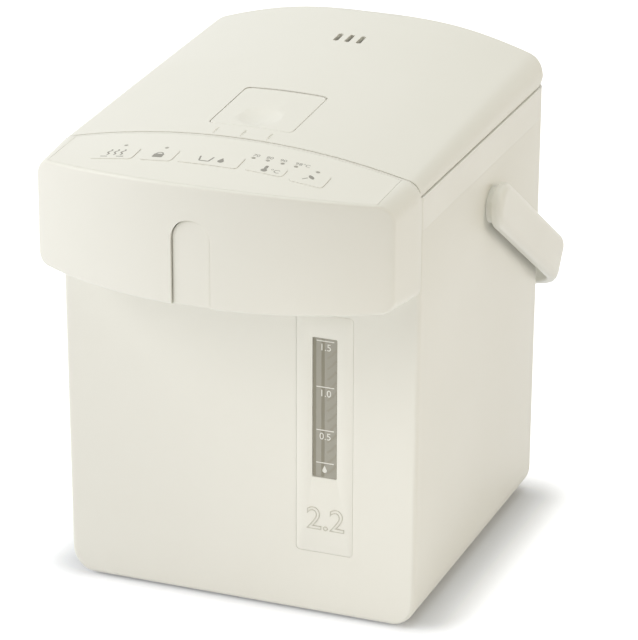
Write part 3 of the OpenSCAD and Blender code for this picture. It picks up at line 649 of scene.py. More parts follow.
CAD_FINISHES = {
    Finish.LINER: ("base_plate", "shield_posts", "lid_inner", "gauge_backing"),
    Finish.MILKY: ("spout_nozzle", "tip_valve", "gauge_tube", "pump_housing", "impeller",
                   "thermal_fuse", "steam_pipe", "lid_latch"),
    Finish.SILICONE: ("outlet_hose", "riser_elbow", "suction_pipe", "container_packing",
                      "lid_gasket"),
    Finish.RUBBER: ("feet",),
    Finish.DARK: ("tact_switches", "motor_rotor", "power_inlet"),
    Finish.CIRCUIT: ("control_board", "power_board"),
    Finish.STEEL: ("inner_container", "heat_shield", "heater_plate", "pump_motor",
                   "inner_lid_disc"),
    Finish.ZINC: ("base_screws", "tip_valve_ball", "lid_screws", "lever_pin", "lever_spring",
                  "hinge_pins", "pivot_screws"),
    Finish.COPPER: ("band_heater", "thermistor", "inlet_pins"),
}


def dress_cad_nodes() -> None:
    """Gives every CAD node that stays in view its finish."""
    for finish, nodes in CAD_FINISHES.items():
        for node in nodes:
            finish.cover(frame["nodes"][node])


def finish_piece(piece: Piece, body: Body, slot: Slot, finish: Finish, *replaces: str) -> None:
    """Dresses a piece, hangs it on its body and hides the CAD nodes that it stands for.

    Args:
        piece: The piece.
        body: The body that it rides on.
        slot: Its material slot; not used.
        finish: Its finish.
        *replaces: The CAD nodes that it stands for.
    """
    finish.cover(piece)
    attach(piece, body.value)
    if replaces:
        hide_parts(*replaces)
    LOG.info("piece %s: %d faces", piece.name, len(piece.data.polygons))


# ---- lettering and signs


def lettering(name: str, words: str, x: float, y: float, size: float,
              outline: float = 0.0) -> Piece:
    """Flat lettering in x and y, centred on x with its foot at y.

    Args:
        name: Name of the piece.
        words: The characters.
        x, y: Place in millimetres.
        size: Letter size in millimetres.
        outline: Line width of outlined characters, or 0 for solid ones.

    Returns:
        The lettering as a mesh.
    """
    piece = created(name, bpy.ops.object.text_add)
    text = piece.data
    text.body = words
    text.size = size * MM
    text.align_x = "CENTER"
    text.resolution_u = 6
    if outline:
        text.fill_mode = "NONE"
        text.bevel_depth = outline / 2 * MM
        text.bevel_resolution = 1
    piece.location = (x * MM, y * MM, 0)
    bpy.ops.object.convert(target="MESH")
    return settle(piece)


def flat_shape(name: str, outline: Sequence[Flat]) -> Piece:
    """One flat face in x and y from an outline in millimetres.

    Args:
        name: Name of the piece.
        outline: Its outline.

    Returns:
        The face.
    """
    count = len(outline)
    piece = created(name, bpy.ops.mesh.primitive_circle_add, vertices=count, radius=1,
                    fill_type="NGON")
    for vertex in piece.data.vertices:
        step = step_on_circle(-vertex.co.x, vertex.co.y, count)
        vertex.co = Vector((*outline[step], 0)) * MM
    return piece


def water_drop(name: str, x: float, y: float, size: float) -> Piece:
    """A flat water drop in x and y."""
    points = arc(0, 0, size * 0.3, 150, 390, 16) + [(0, size * 0.7)]
    return flat_shape(name, [(x + px, y + py) for px, py in points])


def ribbon(name: str, line: Sequence[Flat], width: float) -> Piece:
    """A flat printed stroke along a line in x and y.

    Args:
        name: Name of the piece.
        line: Points along its middle.
        width: Its width.

    Returns:
        The stroke.
    """
    left: Line = []
    right: Line = []
    for i, (x, y) in enumerate(line):
        ax, ay = line[max(i - 1, 0)]
        bx, by = line[min(i + 1, len(line) - 1)]
        long = hypot(bx - ax, by - ay)
        nx, ny = (ay - by) / long * width / 2, (bx - ax) / long * width / 2
        left.append((x + nx, y + ny))
        right.append((x - nx, y - ny))
    return flat_shape(name, left + right[::-1])


def stand_up(piece: Piece, y: float) -> Piece:
    """Turns flat lettering in x and y to stand on the body front at a depth y.

    Args:
        piece: The lettering.
        y: Depth from the body front.

    Returns:
        The lettering.
    """
    for vertex in piece.data.vertices:
        x, z, lift = vertex.co
        vertex.co = at(x / MM, y, z / MM) - Vector((0, lift, 0))
    return piece


# ---- body


@dataclass
class BodyShell:
    """The body shell: leaning sides, round lower corners and openings."""

    width: float = 190.0
    draft: float = 0.4
    corner: float = 13.0
    front_edge: float = 2.5
    rear_edge: float = 8.0
    lower_edge: float = 2.0
    lip: float = 0.35
    foot: float = 1.5
    rim: float = 213.0
    mouth: float = 81.4
    mouth_y: float = 100.0
    mouth_steps: int = 192

    OUTER_LOWS = (0, 0.15, 0.5, 1, 1.6, 2.3, 3.5, 5, 7, 9, 11, 13)
    INNER_LOWS = (11, 8, 5, 3, 1.5, 0.6, 0.2, 0)
    BASE_REBATE = (-77, 77, 9, 179, 0, 3)
    BASE_HOLE = (-68, 68, 16, 172, 0, 20)
    HEAD_HOLE = (-60, 60, -1, 3.5, 183, 208)
    INLET_HOLE = (-23, 23, 180, 190, 30, 56)
    RING_SPAN = (190, 262)

    def plan(self, inset: float, side: float = 0.0, end: float = 0.0) -> Line:
        """Outline seen from above.

        Args:
            inset: How far the outline is drawn in.
            side: Further step in from the sides.
            end: Further step in from front and rear.

        Returns:
            The points.
        """
        half = self.width / 2 - side - inset
        front = max(self.front_edge - inset, 0.5)
        rear = max(self.rear_edge - inset, 0.5)
        return rounded_rect(-half, half, inset + end, BODY_DEPTH - inset - end,
                            (front, front, rear, rear), 8, 4)

    def ring(self, z: float, inset: float = 0.0) -> Ring:
        """Outline of the shell at a height, with the round lower corners.

        Args:
            z: Height.
            inset: How far the outline is drawn in.

        Returns:
            The ring.
        """
        low = z - self.foot - inset
        lean = (self.rim - z) * tan(radians(self.draft))
        plan = self.plan(inset, lean + round_off(low, self.corner - inset),
                         round_off(low, self.lower_edge))
        return [(x, y, z) for x, y in plan]

    def build(self) -> None:
        """Makes the shell and the ring on it."""
        rim, lip = self.rim, self.lip
        rings = [self.ring(self.foot + low) for low in self.OUTER_LOWS]
        rings += [self.ring(rim * share) for share in (0.25, 0.5, 0.75)]
        rings += [self.ring(rim - lip), self.ring(rim - lip * 0.3, lip * 0.3),
                  self.ring(rim, lip), self.ring(rim, WALL - 0.1)]
        rings += [self.ring(rim * share, WALL) for share in (0.9, 0.5)]
        rings += [self.ring(self.foot + WALL + low, WALL) for low in self.INNER_LOWS]
        shell = loft("body_shell", rings)
        holes = [block("cut", *hole) for hole in (self.BASE_REBATE, self.BASE_HOLE,
                                                  self.HEAD_HOLE)]
        gauge = Gauge()
        carve(shell, *holes, block("cut", *self.INLET_HOLE, 1.0),
              slab(gauge.panel(0.12), -1, gauge.recess), slab(gauge.window(0.1), -1, WALL + 1))
        finish_piece(shell, Body.HOUSING, Slot.SHELL, Finish.SHELL, "outer_body")
        self.trim_ring()

    def trim_ring(self) -> None:
        """Makes the ring under the lid, with the same corners as the shell."""
        activate(frame["nodes"]["upper_ring"])
        bpy.ops.object.duplicate()
        ring = bpy.context.object
        ring.name = ring.data.name = "rim_ring"
        bpy.ops.object.parent_clear(type="CLEAR_KEEP_TRANSFORM")
        for key in list(ring.keys()):
            del ring[key]
        settle(ring)
        carve(ring, prism(self.plan(-0.01), *self.RING_SPAN), operation="INTERSECT")
        mouth = circle(0, self.mouth_y, self.mouth, self.mouth_steps)
        carve(ring, prism(mouth, *self.RING_SPAN))
        modify(ring, "WEIGHTED_NORMAL", keep_sharp=True)
        finish_piece(ring, Body.HOUSING, Slot.SHELL, Finish.SHELL, "upper_ring")


# ---- level gauge


@dataclass
class Gauge:
    """The level gauge: a thin panel let into the front, a window and a printed scale."""

    middle: float = 45.5
    width: float = 30.0
    foot: float = 35.0
    top: float = 163.0
    recess: float = 0.8
    edge: float = 0.2
    corner: float = 2.0
    window_width: float = 13.0
    window_foot: float = 76.0
    window_top: float = 150.7
    window_corner: float = 0.6
    tube_y: float = 0.27
    tube_gap: float = 0.6
    ink_y: float = 0.24
    ink: float = 0.03
    line_ends: Flat = (41.1, 50.4)
    line_half: float = 0.25
    number_x: float = 45.8
    number_drop: float = 5.0
    number_size: float = 5.2
    drop_z: float = 80.0
    drop_size: float = 4.0
    volume_x: float = 46.1
    volume_z: float = 47.6
    volume_size: float = 17.0
    volume_line: float = 0.55

    PANE = ((-0.1, 2.5), (-0.1, 0.45), (-0.25, 0.3))
    # strips of painted shade where the clear level tube's edges look dark
    TUBE_EDGES = (("tube_edge_left", 39.3, 40.9), ("tube_edge_middle", 43.7, 45.4))
    STRIPE = ((46.9, 0), (49.4, 2.2), (51.6, 5))
    STRIPE_PITCH = 5.6
    LEVELS = ((149.2, "1.5"), (124.8, "1.0"), (101.7, "0.5"), (84.1, ""))

    def panel(self, gap: float) -> Line:
        """Outline of the panel in x and z."""
        half = self.width / 2 + gap
        return rounded_rect(self.middle - half, self.middle + half, self.foot - gap,
                            self.top + gap, self.corner + gap)

    def window(self, gap: float) -> Line:
        """Outline of the window in x and z."""
        half = self.window_width / 2 + gap
        return rounded_rect(self.middle - half, self.middle + half, self.window_foot - gap,
                            self.window_top + gap, self.window_corner + max(gap, 0))

    def build(self) -> None:
        """Makes panel, window and scale."""
        edge = self.edge
        steps = [(0, self.recess), (0, edge), (-edge * 0.3, edge * 0.3), (-edge, 0)]
        outer = [upright(self.panel(gap), y) for gap, y in steps]
        inner = [upright(self.window(-gap), y) for gap, y in reversed(steps)]
        panel = loft("level_gauge_panel", outer + inner, wrap=True)
        finish_piece(panel, Body.HOUSING, Slot.TRIM, Finish.TRIM, "gauge_panel")
        pane = loft("level_gauge_window", [upright(self.window(gap), y) for gap, y in self.PANE])
        finish_piece(pane, Body.HOUSING, Slot.WINDOW, Finish.WINDOW, "gauge_window")
        self.draw_tube()
        self.print_scale()

    def draw_tube(self) -> None:
        """Draws the dark edges of the level tube as painted shade, and the stripes on its rear, as
        seen in the pane.
        """
        foot, top = self.window_foot + self.tube_gap, self.window_top - self.tube_gap
        for name, x0, x1 in self.TUBE_EDGES:
            # a flat strip of painted shade along one edge of the tube
            band = block(name, x0, x1, self.tube_y, self.tube_y + 0.02, foot, top)
            finish_piece(band, Body.HOUSING, Slot.WINDOW, Finish.BAND)
        for i in range(int((top - foot) / self.STRIPE_PITCH) - 1):
            z = foot + 2 + i * self.STRIPE_PITCH
            stripe = ribbon(f"tube_stripe_{i}", [(x, z + rise) for x, rise in self.STRIPE], 1.0)
            finish_piece(stand_up(stripe, self.tube_y), Body.HOUSING, Slot.WINDOW, Finish.HATCH)

    def print_scale(self) -> None:
        """Prints the scale lines, their numbers and the volume."""
        y = self.ink_y
        for z, words in self.LEVELS:
            line = block(f"scale_line_{round(z)}", *self.line_ends, y, y + self.ink,
                         z - self.line_half, z + self.line_half)
            finish_piece(line, Body.HOUSING, Slot.PRINT, Finish.PALE_INK)
            if words:
                number = lettering(f"scale_number_{round(z)}", words, self.number_x,
                                   z - self.number_drop, self.number_size)
                finish_piece(stand_up(number, y), Body.HOUSING, Slot.PRINT, Finish.PALE_INK)
        drop = stand_up(water_drop("refill_drop", self.middle, self.drop_z, self.drop_size), y)
        finish_piece(drop, Body.HOUSING, Slot.PRINT, Finish.PALE_INK)
        volume = lettering("volume_number", "2.2", self.volume_x, self.volume_z,
                           self.volume_size, self.volume_line)
        finish_piece(stand_up(volume, -self.ink), Body.HOUSING, Slot.PRINT, Finish.LINE_INK)


# ---- crown


@dataclass(frozen=True)
class Crown:
    """The crowned surface that head and lid share; it is rounder at the rear."""

    height: float = 248.4
    slope: float = 0.0578
    front_r: float = 380.0
    rear_r: float = 272.0

    def radius(self, y: float) -> float:
        """Radius of the crown across the pot at a depth."""
        return self.front_r + (self.rear_r - self.front_r) * min(max(y / BODY_DEPTH, 0), 1.2)

    def top(self, x: float, y: float) -> float:
        """Height of the crown at a place."""
        r = self.radius(y)
        return self.height + self.slope * y - (r - sqrt(r * r - x * x))


CROWN = Crown()


# ---- head


@dataclass
class Head:
    """The bowed head over the body front, with its panel, keys and spout cover."""

    reach: float = 59.0
    bow: float = 168.0
    half: float = 92.8
    rear_half: float = 95.0
    under: float = 182.0
    under_drop: float = 3.0
    brow: float = 243.5
    sag: float = 0.00087
    upper_corner: float = 10.0
    lower_corner: float = 6.0
    edge: float = 1.6
    seat: float = 0.5
    spine_gap: float = 24.0
    runs: int = 48
    corner_steps: int = 8
    side_steps: int = 6

    def bow_y(self, x: float) -> float:
        """Depth of the bowed front at x."""
        return self.bow - self.reach - sqrt(self.bow ** 2 - x * x)

    def brow_z(self, x: float) -> float:
        """Height of the front's upper edge at x."""
        return self.brow - self.sag * x * x

    def outline(self, half: float, low: float, high: Callable[[float], float],
                inset: float) -> Line:
        """Outline in x and z, with a crowned top and round corners.

        Args:
            half: Half width before the inset.
            low: Height of the underside.
            high: Height of the top at x, before the corners.
            inset: How far the outline is drawn in.

        Returns:
            The points.
        """
        half -= inset
        top_r = max(self.upper_corner - inset, 0.4)
        low_r = max(self.lower_corner - inset, 0.4)
        x_top, x_low, foot = half - top_r, half - low_r, low + inset
        flank = arc(x_top, high(x_top) - inset - top_r, top_r, 90, 0, self.corner_steps)[1:]
        flank += arc(x_low, foot + low_r, low_r, 0, -90, self.corner_steps)
        return [*((x, high(x) - inset) for x in span(x_top, self.runs)), *flank,
                *between((x_low, foot), (-x_low, foot), self.runs), *mirrored(flank)]

    def front_ring(self, inset: float, depth: float) -> Ring:
        """Ring on the bowed front, drawn in by inset and set back by depth."""
        flat = self.outline(self.half, self.under, self.brow_z, inset)
        return [(x, self.bow_y(x) + depth, z) for x, z in flat]

    def inner_ring(self, share: float) -> Ring:
        """Ring on the bowed front, part of the way to a line along its middle.

        Args:
            share: 0 for the outline of the front, 1 for the line along its middle.

        Returns:
            The ring.
        """
        end, turn = self.half - self.spine_gap, 2 * self.corner_steps + 1
        line = span(end, self.runs)
        across = line + [end] * turn + line[-2:0:-1] + [-end] * turn
        points = []
        for (x, _, z), spine_x in zip(self.front_ring(self.edge, 0), across):
            x += (spine_x - x) * share
            middle = (self.under + self.brow_z(x)) / 2
            points.append((x, self.bow_y(x), z + (middle - z) * share))
        return points

    def rear_ring(self, inset: float, y: float) -> Ring:
        """Ring where the head meets body and lid."""
        return upright(self.outline(self.rear_half, self.under - self.under_drop,
                                    lambda x: CROWN.top(x, 0), inset), y)

    def surface(self, x: float, y: float) -> float:
        """Height of the head's top at a place.

        Args:
            x, y: The place.

        Returns:
            The height in millimetres.
        """
        wide, narrow = self.rear_half - self.upper_corner, self.half - self.upper_corner
        rear_y = -self.seat
        turn = x / wide
        share = 0.0
        for _ in range(4):
            front_y = self.bow_y(narrow * turn) + self.edge
            share = (rear_y - y) / (rear_y - front_y)
            turn = x / (wide + (narrow - wide) * share)
        rear = CROWN.top(wide * turn, 0)
        return rear + (self.brow_z(narrow * turn) - rear) * share

    def build(self) -> None:
        """Makes the housing, the spout cover, the panel and the keys."""
        rings = [self.inner_ring(share) for share in (1.0, 0.7, 0.4, 0.15)]
        rings += [self.front_ring(inset, depth) for inset, depth in fillet(self.edge, 6)]
        start, stop = rings[-1], self.rear_ring(0, -self.seat)
        for i in range(1, self.side_steps):
            share = i / self.side_steps
            rings.append([tuple(a + (b - a) * share for a, b in zip(p, q))
                          for p, q in zip(start, stop)])
        rings += [stop, self.rear_ring(0.15, -0.15), self.rear_ring(0.5, 0)]
        housing = loft("head_cover", rings, folded=True)
        spout = Spout()
        carve(housing, slab(spout.outline(spout.gap),
                            *(step - self.reach for step in spout.cut_depth)))
        Panel().build(self, housing)
        finish_piece(housing, Body.HOUSING, Slot.SHELL, Finish.SHELL,
                     "head_housing", "head_bottom_cover")
        spout.build(self)


@dataclass
class Spout:
    """The arched cover in front of the spout."""

    width: float = 19.6
    top: float = 225.8
    foot: float = 182.4
    recess: float = 1.3
    edge: float = 0.7
    gap: float = 0.35
    cut_depth: Flat = (-4, 7)

    BACK_STEPS = ((-7, 0), (-4, 0), (-2, 0))

    def outline(self, gap: float) -> Line:
        """Arch outline in x and z, anticlockwise from the lower left.

        Args:
            gap: How far the arch is grown.

        Returns:
            The points.
        """
        half = self.width / 2 + gap
        spring = self.top - self.width / 2
        foot = self.foot - (8 if gap > 0 else gap)
        left, right = (-half, foot), (half, foot)
        points = [left, *between(left, right, 6), right, *between(right, (half, spring), 5)]
        points += arc(0, spring, half, 0, 180, 24)
        return points + between(points[-1], left, 5)

    def build(self, head: Head) -> None:
        """Makes the cover."""
        steps = [*self.BACK_STEPS, *((-inset, depth) for inset, depth in fillet(self.edge, 4)),
                 (0, 4)]
        rings = [[(x, head.bow_y(x) + self.recess + depth, z) for x, z in self.outline(gap)]
                 for gap, depth in steps]
        finish_piece(loft("spout_front", rings), Body.HOUSING, Slot.SHELL, Finish.SHELL,
                     "spout_cover")


@dataclass
class Panel:
    """The control panel let into the head's top, with keys, lights and signs."""

    half: float = 85.0
    front: float = 1.8
    rear: float = -2.0
    thickness: float = 0.8
    gap: float = 0.1
    key_room: float = 0.12
    key_corner: float = 2.0
    key_depth: float = 1.2
    well_depth: float = 2.4
    proud: float = 0.3
    lens: float = 0.95
    runs: int = 48

    CUT_SPAN = (225, 262)
    KEYS = {
        "reboil": (Body.REBOIL, (-63, -41, -34.5, -21)),
        "lock": (Body.LOCK, (-37, -20.5, -34.5, -21)),
        "dispense": (Body.DISPENSE, (-17.5, 13.2, -34, -21)),
        "temperature": (Body.TEMPERATURE, (17, 36.2, -33, -24)),
        "eco": (Body.ECO, (40, 57, -34.5, -21)),
    }
    LENSES = ((-50.8, -17.5), (-28.7, -18.9), (16.2, -18.9), (23.5, -18.9), (31.1, -18.9),
              (38, -18.9), (49.2, -19.2))

    def outline(self, head: Head, gap: float) -> Line:
        """Outline of the panel in x and y, grown by a gap.

        Args:
            head: The head that the panel lies on.
            gap: How far the outline is grown.

        Returns:
            The points.
        """
        half = self.half + gap
        across = span(half, self.runs)
        points = [(x, head.bow_y(x) + self.front - gap) for x in across]
        return points + [(x, self.rear + gap) for x in reversed(across)]

    def key_outline(self, name: str, gap: float, corner: float) -> Line:
        """Outline of a key in x and y, grown by a gap."""
        x0, x1, y0, y1 = self.KEYS[name][1]
        return rounded_rect(x0 - gap, x1 + gap, y0 - gap, y1 + gap, corner)

    def build(self, head: Head, housing: Piece) -> None:
        """Makes the panel and lets it into the housing.

        Args:
            head: The head that the panel lies on.
            housing: The head's housing, which gets recesses for panel and keys.
        """
        form = copy_of(housing)
        panel = sheet_of(self.outline(head, -self.gap), form, 0, -self.thickness)
        carve(housing, sheet_of(self.outline(head, self.gap), form, 2, -self.thickness))
        pads = {}
        corner = self.key_corner
        for name in self.KEYS:
            hole = prism(self.key_outline(name, self.key_room, corner + self.key_room),
                         *self.CUT_SPAN)
            pads[name] = sheet_of(self.key_outline(name, 0, corner), form, self.proud,
                                  -self.key_depth)
            carve(panel, hole)
            carve(housing, sheet_of(self.key_outline(name, 1, corner), form, 1,
                                    -self.well_depth))
        for x, y in self.LENSES:
            carve(panel, prism(circle(x, y, self.lens + 0.1), *self.CUT_SPAN))
        bevel(panel, 0.08, 1, smooth=SMOOTH_ANGLE)
        finish_piece(panel, Body.HOUSING, Slot.TRIM, Finish.TRIM, "control_panel")
        for name, pad in pads.items():
            bevel(pad, 0.28, 3, smooth=40)
            pad.name = f"{name}_pad"
            finish_piece(pad, self.KEYS[name][0], Slot.TRIM, Finish.TRIM, f"{name}_key")
        lights = join([self.light(x, y, head.surface(x, y)) for x, y in self.LENSES])
        finish_piece(lights, Body.HOUSING, Slot.LIGHTS, Finish.LENS, "indicator_lenses")
        bpy.data.objects.remove(form)
        Signs(head, self.proud).build()

    def light(self, x: float, y: float, top: float) -> Piece:
        """A round light lens with a domed top."""
        profile = ((self.lens, -1.5), (self.lens, -0.06), (self.lens - 0.12, 0.04),
                   (self.lens / 2, 0.08))
        return loft("indicator_lights", [[(px, py, top + rise) for px, py in circle(x, y, r)]
                                         for r, rise in profile])


@dataclass
class Signs:
    """Plain signs printed on the keys and the panel."""

    head: Head
    proud: float
    ink: float = 0.03

    DEGREES = (("70", 16.6), ("80", 23.5), ("90", 30.4), ("98°C", 40.3))

    def put(self, body: Body, piece: Piece) -> None:
        """Lays a flat sign in x and y on a key, or on the panel if the housing carries it.

        Args:
            body: The body that the sign rides on.
            piece: The sign.
        """
        lift = self.ink + (0 if body == Body.HOUSING else self.proud)
        for vertex in piece.data.vertices:
            x, y = vertex.co.x / MM, vertex.co.y / MM
            vertex.co = at(x, y, self.head.surface(x, y) + lift)
        finish_piece(piece, body, Slot.PRINT, Finish.INK)

    def build(self) -> None:
        """Prints the sign of every key and the temperatures."""
        for i, x in enumerate((-55.5, -52.0, -48.5)):
            wave = [(x + 0.7 * sin(t * pi / 4), -30.3 + 0.55 * t) for t in range(13)]
            self.put(Body.REBOIL, ribbon(f"heat_wave_{i}", wave, 0.8))
        self.put(Body.REBOIL, ribbon("heat_bar", [(-58, -32), (-46, -32)], 0.8))
        self.put(Body.LOCK, ribbon("lock_bow", arc(-29, -27.2, 1.7, 0, 180, 12), 0.7))
        chest = rounded_rect(-31.6, -26.4, -31.2, -27.2, 0.5)
        self.put(Body.LOCK, flat_shape("lock_chest", chest))
        cup = [(-8.2, -25.4), (-7.2, -30.4), (-2.4, -30.4), (-1.4, -25.4)]
        self.put(Body.DISPENSE, ribbon("cup_line", between_all(cup), 0.8))
        self.put(Body.DISPENSE, water_drop("pour_drop", 3.2, -28.6, 5.2))
        stem = rounded_rect(25.2, 26.8, -28.6, -24.9, 0.75)
        self.put(Body.TEMPERATURE, flat_shape("heat_stem", stem))
        self.put(Body.TEMPERATURE, flat_shape("heat_bulb", circle(26, -30, 1.6)))
        self.put(Body.TEMPERATURE, lettering("degree_sign", "°C", 31.2, -30.6, 4.6))
        leaf = arc(47.3, -28.2, 3.4, 20, 90, 8) + arc(50.5, -25.0, 3.4, 200, 270, 8)
        self.put(Body.ECO, flat_shape("leaf", leaf))
        self.put(Body.ECO, ribbon("leaf_stalk", [(45.6, -30.3), (47.6, -27.9)], 0.6))
        for words, x in self.DEGREES:
            self.put(Body.HOUSING, lettering(f"degrees_{words[:2]}", words, x, -17.0, 3.6))


def between_all(corners: Sequence[Flat]) -> Line:
    """A line through corners, with extra points close to each corner.

    Args:
        corners: The corners.

    Returns:
        The points.
    """
    line = [corners[0]]
    for a, b in zip(corners, corners[1:]):
        line += [(a[0] + (b[0] - a[0]) * t, a[1] + (b[1] - a[1]) * t) for t in (0.06, 0.94)]
    return [*line, corners[-1]]


# ---- lid


@dataclass
class Lid:
    """The crowned lid with its lever pocket, steam slots and hinge knuckles."""

    half: float = 94.1
    front: float = 0.8
    front_corner: float = 2.5
    rear_corner: float = 8.0
    seat: float = 230.6
    shoulder: float = 8.0
    rear_shoulder: float = 13.0
    hinge_y: float = 178.0
    hinge_z: float = 240.5
    hinge_round: float = 9.8
    hinge_x: float = 50.0
    rear_round: float = 6.0
    slot_x: float = 3.0
    slot_y: float = 143.0
    slot_pitch: float = 6.2
    slot_half: Flat = (1.35, 5.3)
    slot_corner: float = 1.3
    lug_step: float = 6.4
    lug_half: float = 3.0
    knuckle_half: float = 3.4
    pin_half: float = 10.5
    pin_r: float = 2.55
    pocket_floor: float = 238.6
    pocket_wall: float = 2.2
    sink: float = 0.8
    above: float = 270.0
    runs: int = 56
    turn_steps: int = 14

    NOTCHES = (-13.7, 0.7, 14.3)
    NOTCH = ((0.15, 2.2), (0.75, 3.4), (1.0, 6.6), (0.75, 9.8), (0.1, 11.0))

    def section(self, y: float, inset: float) -> Ring:
        """Ring across the lid, with a low foot, round shoulders and a crowned top.

        Args:
            y: Depth from the body front.
            inset: How far the section is drawn in.

        Returns:
            The ring.
        """
        turn = self.shoulder + (self.rear_shoulder - self.shoulder) * max(y, 0) / BODY_DEPTH
        edge = self.half - turn
        foot = self.seat - 25
        crown_r = CROWN.radius(y)
        middle = CROWN.top(0, y) - crown_r
        shoulder = middle + sqrt((crown_r - turn) ** 2 - edge ** 2)
        lean = degrees(asin(edge / (crown_r - turn)))
        flank = arc(edge, shoulder, turn - inset, 0, 90 - lean, self.turn_steps)
        points = [(inset - self.half, foot), (self.half - inset, foot), *flank]
        points += arc(0, middle, crown_r - inset, 90 - lean, 90 + lean, self.runs)[1:-1]
        return upright(points + mirrored(flank), y)

    def form(self, inset: float) -> Piece:
        """The solid form of the lid, drawn in by an inset.

        Args:
            inset: How far the form is drawn in.

        Returns:
            The form.
        """
        solid = loft("lid_cover", [self.section(y, inset) for y in range(-20, 221, 20)])
        low = self.seat - (5 if inset else 0)
        back = BODY_DEPTH - inset
        top = CROWN.top(0, BODY_DEPTH) - inset - self.rear_round
        steps = self.turn_steps
        side = [(self.front + inset, low), (self.hinge_y, low)]
        side += arc(self.hinge_y, self.hinge_z, self.hinge_round - inset, -90, 0, steps)
        side += [(back, top - 1), *arc(back - self.rear_round, top, self.rear_round, 0, 80, steps)]
        side += [(back - self.rear_round - 4, 275), (self.front + inset, 275)]
        flank = loft("cut", [[(x, y, z) for y, z in side] for x in (-120, 120)])
        corners = [max(r - inset, 0.5) for r in (self.front_corner, self.rear_corner)]
        radii = [corners[0]] * 2 + [corners[1]] * 2
        wide = self.half + 2.4 - inset
        plan = prism(rounded_rect(-wide, wide, inset - 0.001, back, radii), 200, 285)
        return carve(solid, flank, plan, operation="INTERSECT")

    def build(self) -> None:
        """Makes the lid and its lever."""
        solid = self.form(0)
        outer = copy_of(solid)
        bevel(outer, 0.3, 2, 50)
        carve(outer, self.form(WALL))
        lever = Lever()
        around = lever.outline(lever.gap + self.pocket_wall, lever.rear_gap + self.pocket_wall)
        adds = [prism(around, self.pocket_floor - 2, self.above)]
        carve(adds[0], copy_of(solid, -self.sink), operation="INTERSECT")
        hinge_y, hinge_z = self.hinge_y, self.hinge_z
        for x in (-self.hinge_x, self.hinge_x):
            for middle in (x - self.lug_step, x + self.lug_step):
                lug = block("cut", middle - self.lug_half, middle + self.lug_half,
                            hinge_y - 4, hinge_y + 4, hinge_z - 4, 258)
                adds.append(carve(lug, copy_of(solid, -self.sink), operation="INTERSECT"))
        carve(outer, *adds, operation="UNION")
        cuts = [prism(lever.outline(lever.gap, lever.rear_gap), self.pocket_floor, self.above)]
        for x in (-self.hinge_x, self.hinge_x):
            cuts.append(block("cut", x - self.knuckle_half, x + self.knuckle_half, hinge_y - 6,
                              BODY_DEPTH + 5, self.seat - 5, hinge_z + 6))
            cuts.append(rod(x - self.pin_half, x + self.pin_half, self.pin_r, hinge_y, hinge_z,
                            24))
        wide, long = self.slot_half
        for step in (-1, 0, 1):
            x = self.slot_x + step * self.slot_pitch
            slot = rounded_rect(x - wide, x + wide, self.slot_y - long, self.slot_y + long,
                                self.slot_corner)
            cuts.append(prism(slot, 238, self.above))
        carve(outer, *cuts, *[self.notch(x) for x in self.NOTCHES])
        finish_piece(outer, Body.LID, Slot.SHELL, Finish.SHELL, "lid_outer")
        lever.build(solid)
        bpy.data.objects.remove(solid)

    def notch(self, x: float) -> Piece:
        """A cutter for one of the short notches in front of the lever.

        Args:
            x: Middle of the notch.

        Returns:
            The cutter.
        """
        rings = []
        for share, y in self.NOTCH:
            wide, deep = 0.9 * share, 0.7 * share
            top = CROWN.top(x, y)
            rings.append([(x + wide * cos(a), y, top + deep * sin(a))
                          for a in (tau * i / 16 for i in range(16))])
        return loft("cut", rings)


@dataclass
class Lever:
    """The lid lever: a plate that follows the crown, with a finger dimple."""

    half: float = 21.7
    front: float = 15.5
    length: float = 48.5
    thickness: float = 2.2
    gap: float = 0.4
    rear_gap: float = 1.3
    corner: float = 3.0
    dimple_y: float = 27.2
    ball: float = 38.0
    ball_rise: float = 36.3
    pin_y: float = 61.5
    pin_drop: float = 3.2
    pin_r: float = 1.3
    boss_r: float = 2.6

    BOSSES = ((-20.7, -7), (7, 20.7))

    def outline(self, gap: float, rear_gap: float) -> Line:
        """Outline in x and y, grown by a gap."""
        half = self.half + gap
        return rounded_rect(-half, half, self.front - gap, self.front + self.length + rear_gap,
                            self.corner)

    def build(self, form: Piece) -> None:
        """Makes the lever from the lid's form.

        Args:
            form: The solid form of the lid.
        """
        plate = sheet_of(self.outline(0, 0), form, 0, -self.thickness)
        bevel(plate, 0.3, 3, 50)
        centre = at(0, self.dimple_y, CROWN.top(0, self.dimple_y) + self.ball_rise)
        ball = created("cut", bpy.ops.mesh.primitive_uv_sphere_add, segments=128, ring_count=96,
                       radius=self.ball * MM, location=centre, rotation=(pi / 2, 0, 0))
        carve(plate, settle(ball))
        axis = (self.pin_y, CROWN.top(0, self.pin_y) - self.pin_drop)
        for x0, x1 in self.BOSSES:
            carve(plate, rod(x0, x1, self.boss_r, *axis, 32), operation="UNION")
        carve(plate, rod(-24, 24, self.pin_r, *axis, 24))
        plate.name = "lid_lever_plate"
        finish_piece(plate, Body.LEVER, Slot.SHELL, Finish.SHELL, "lid_lever")


# ---- handle


Station = tuple[float, float, float, float, float]


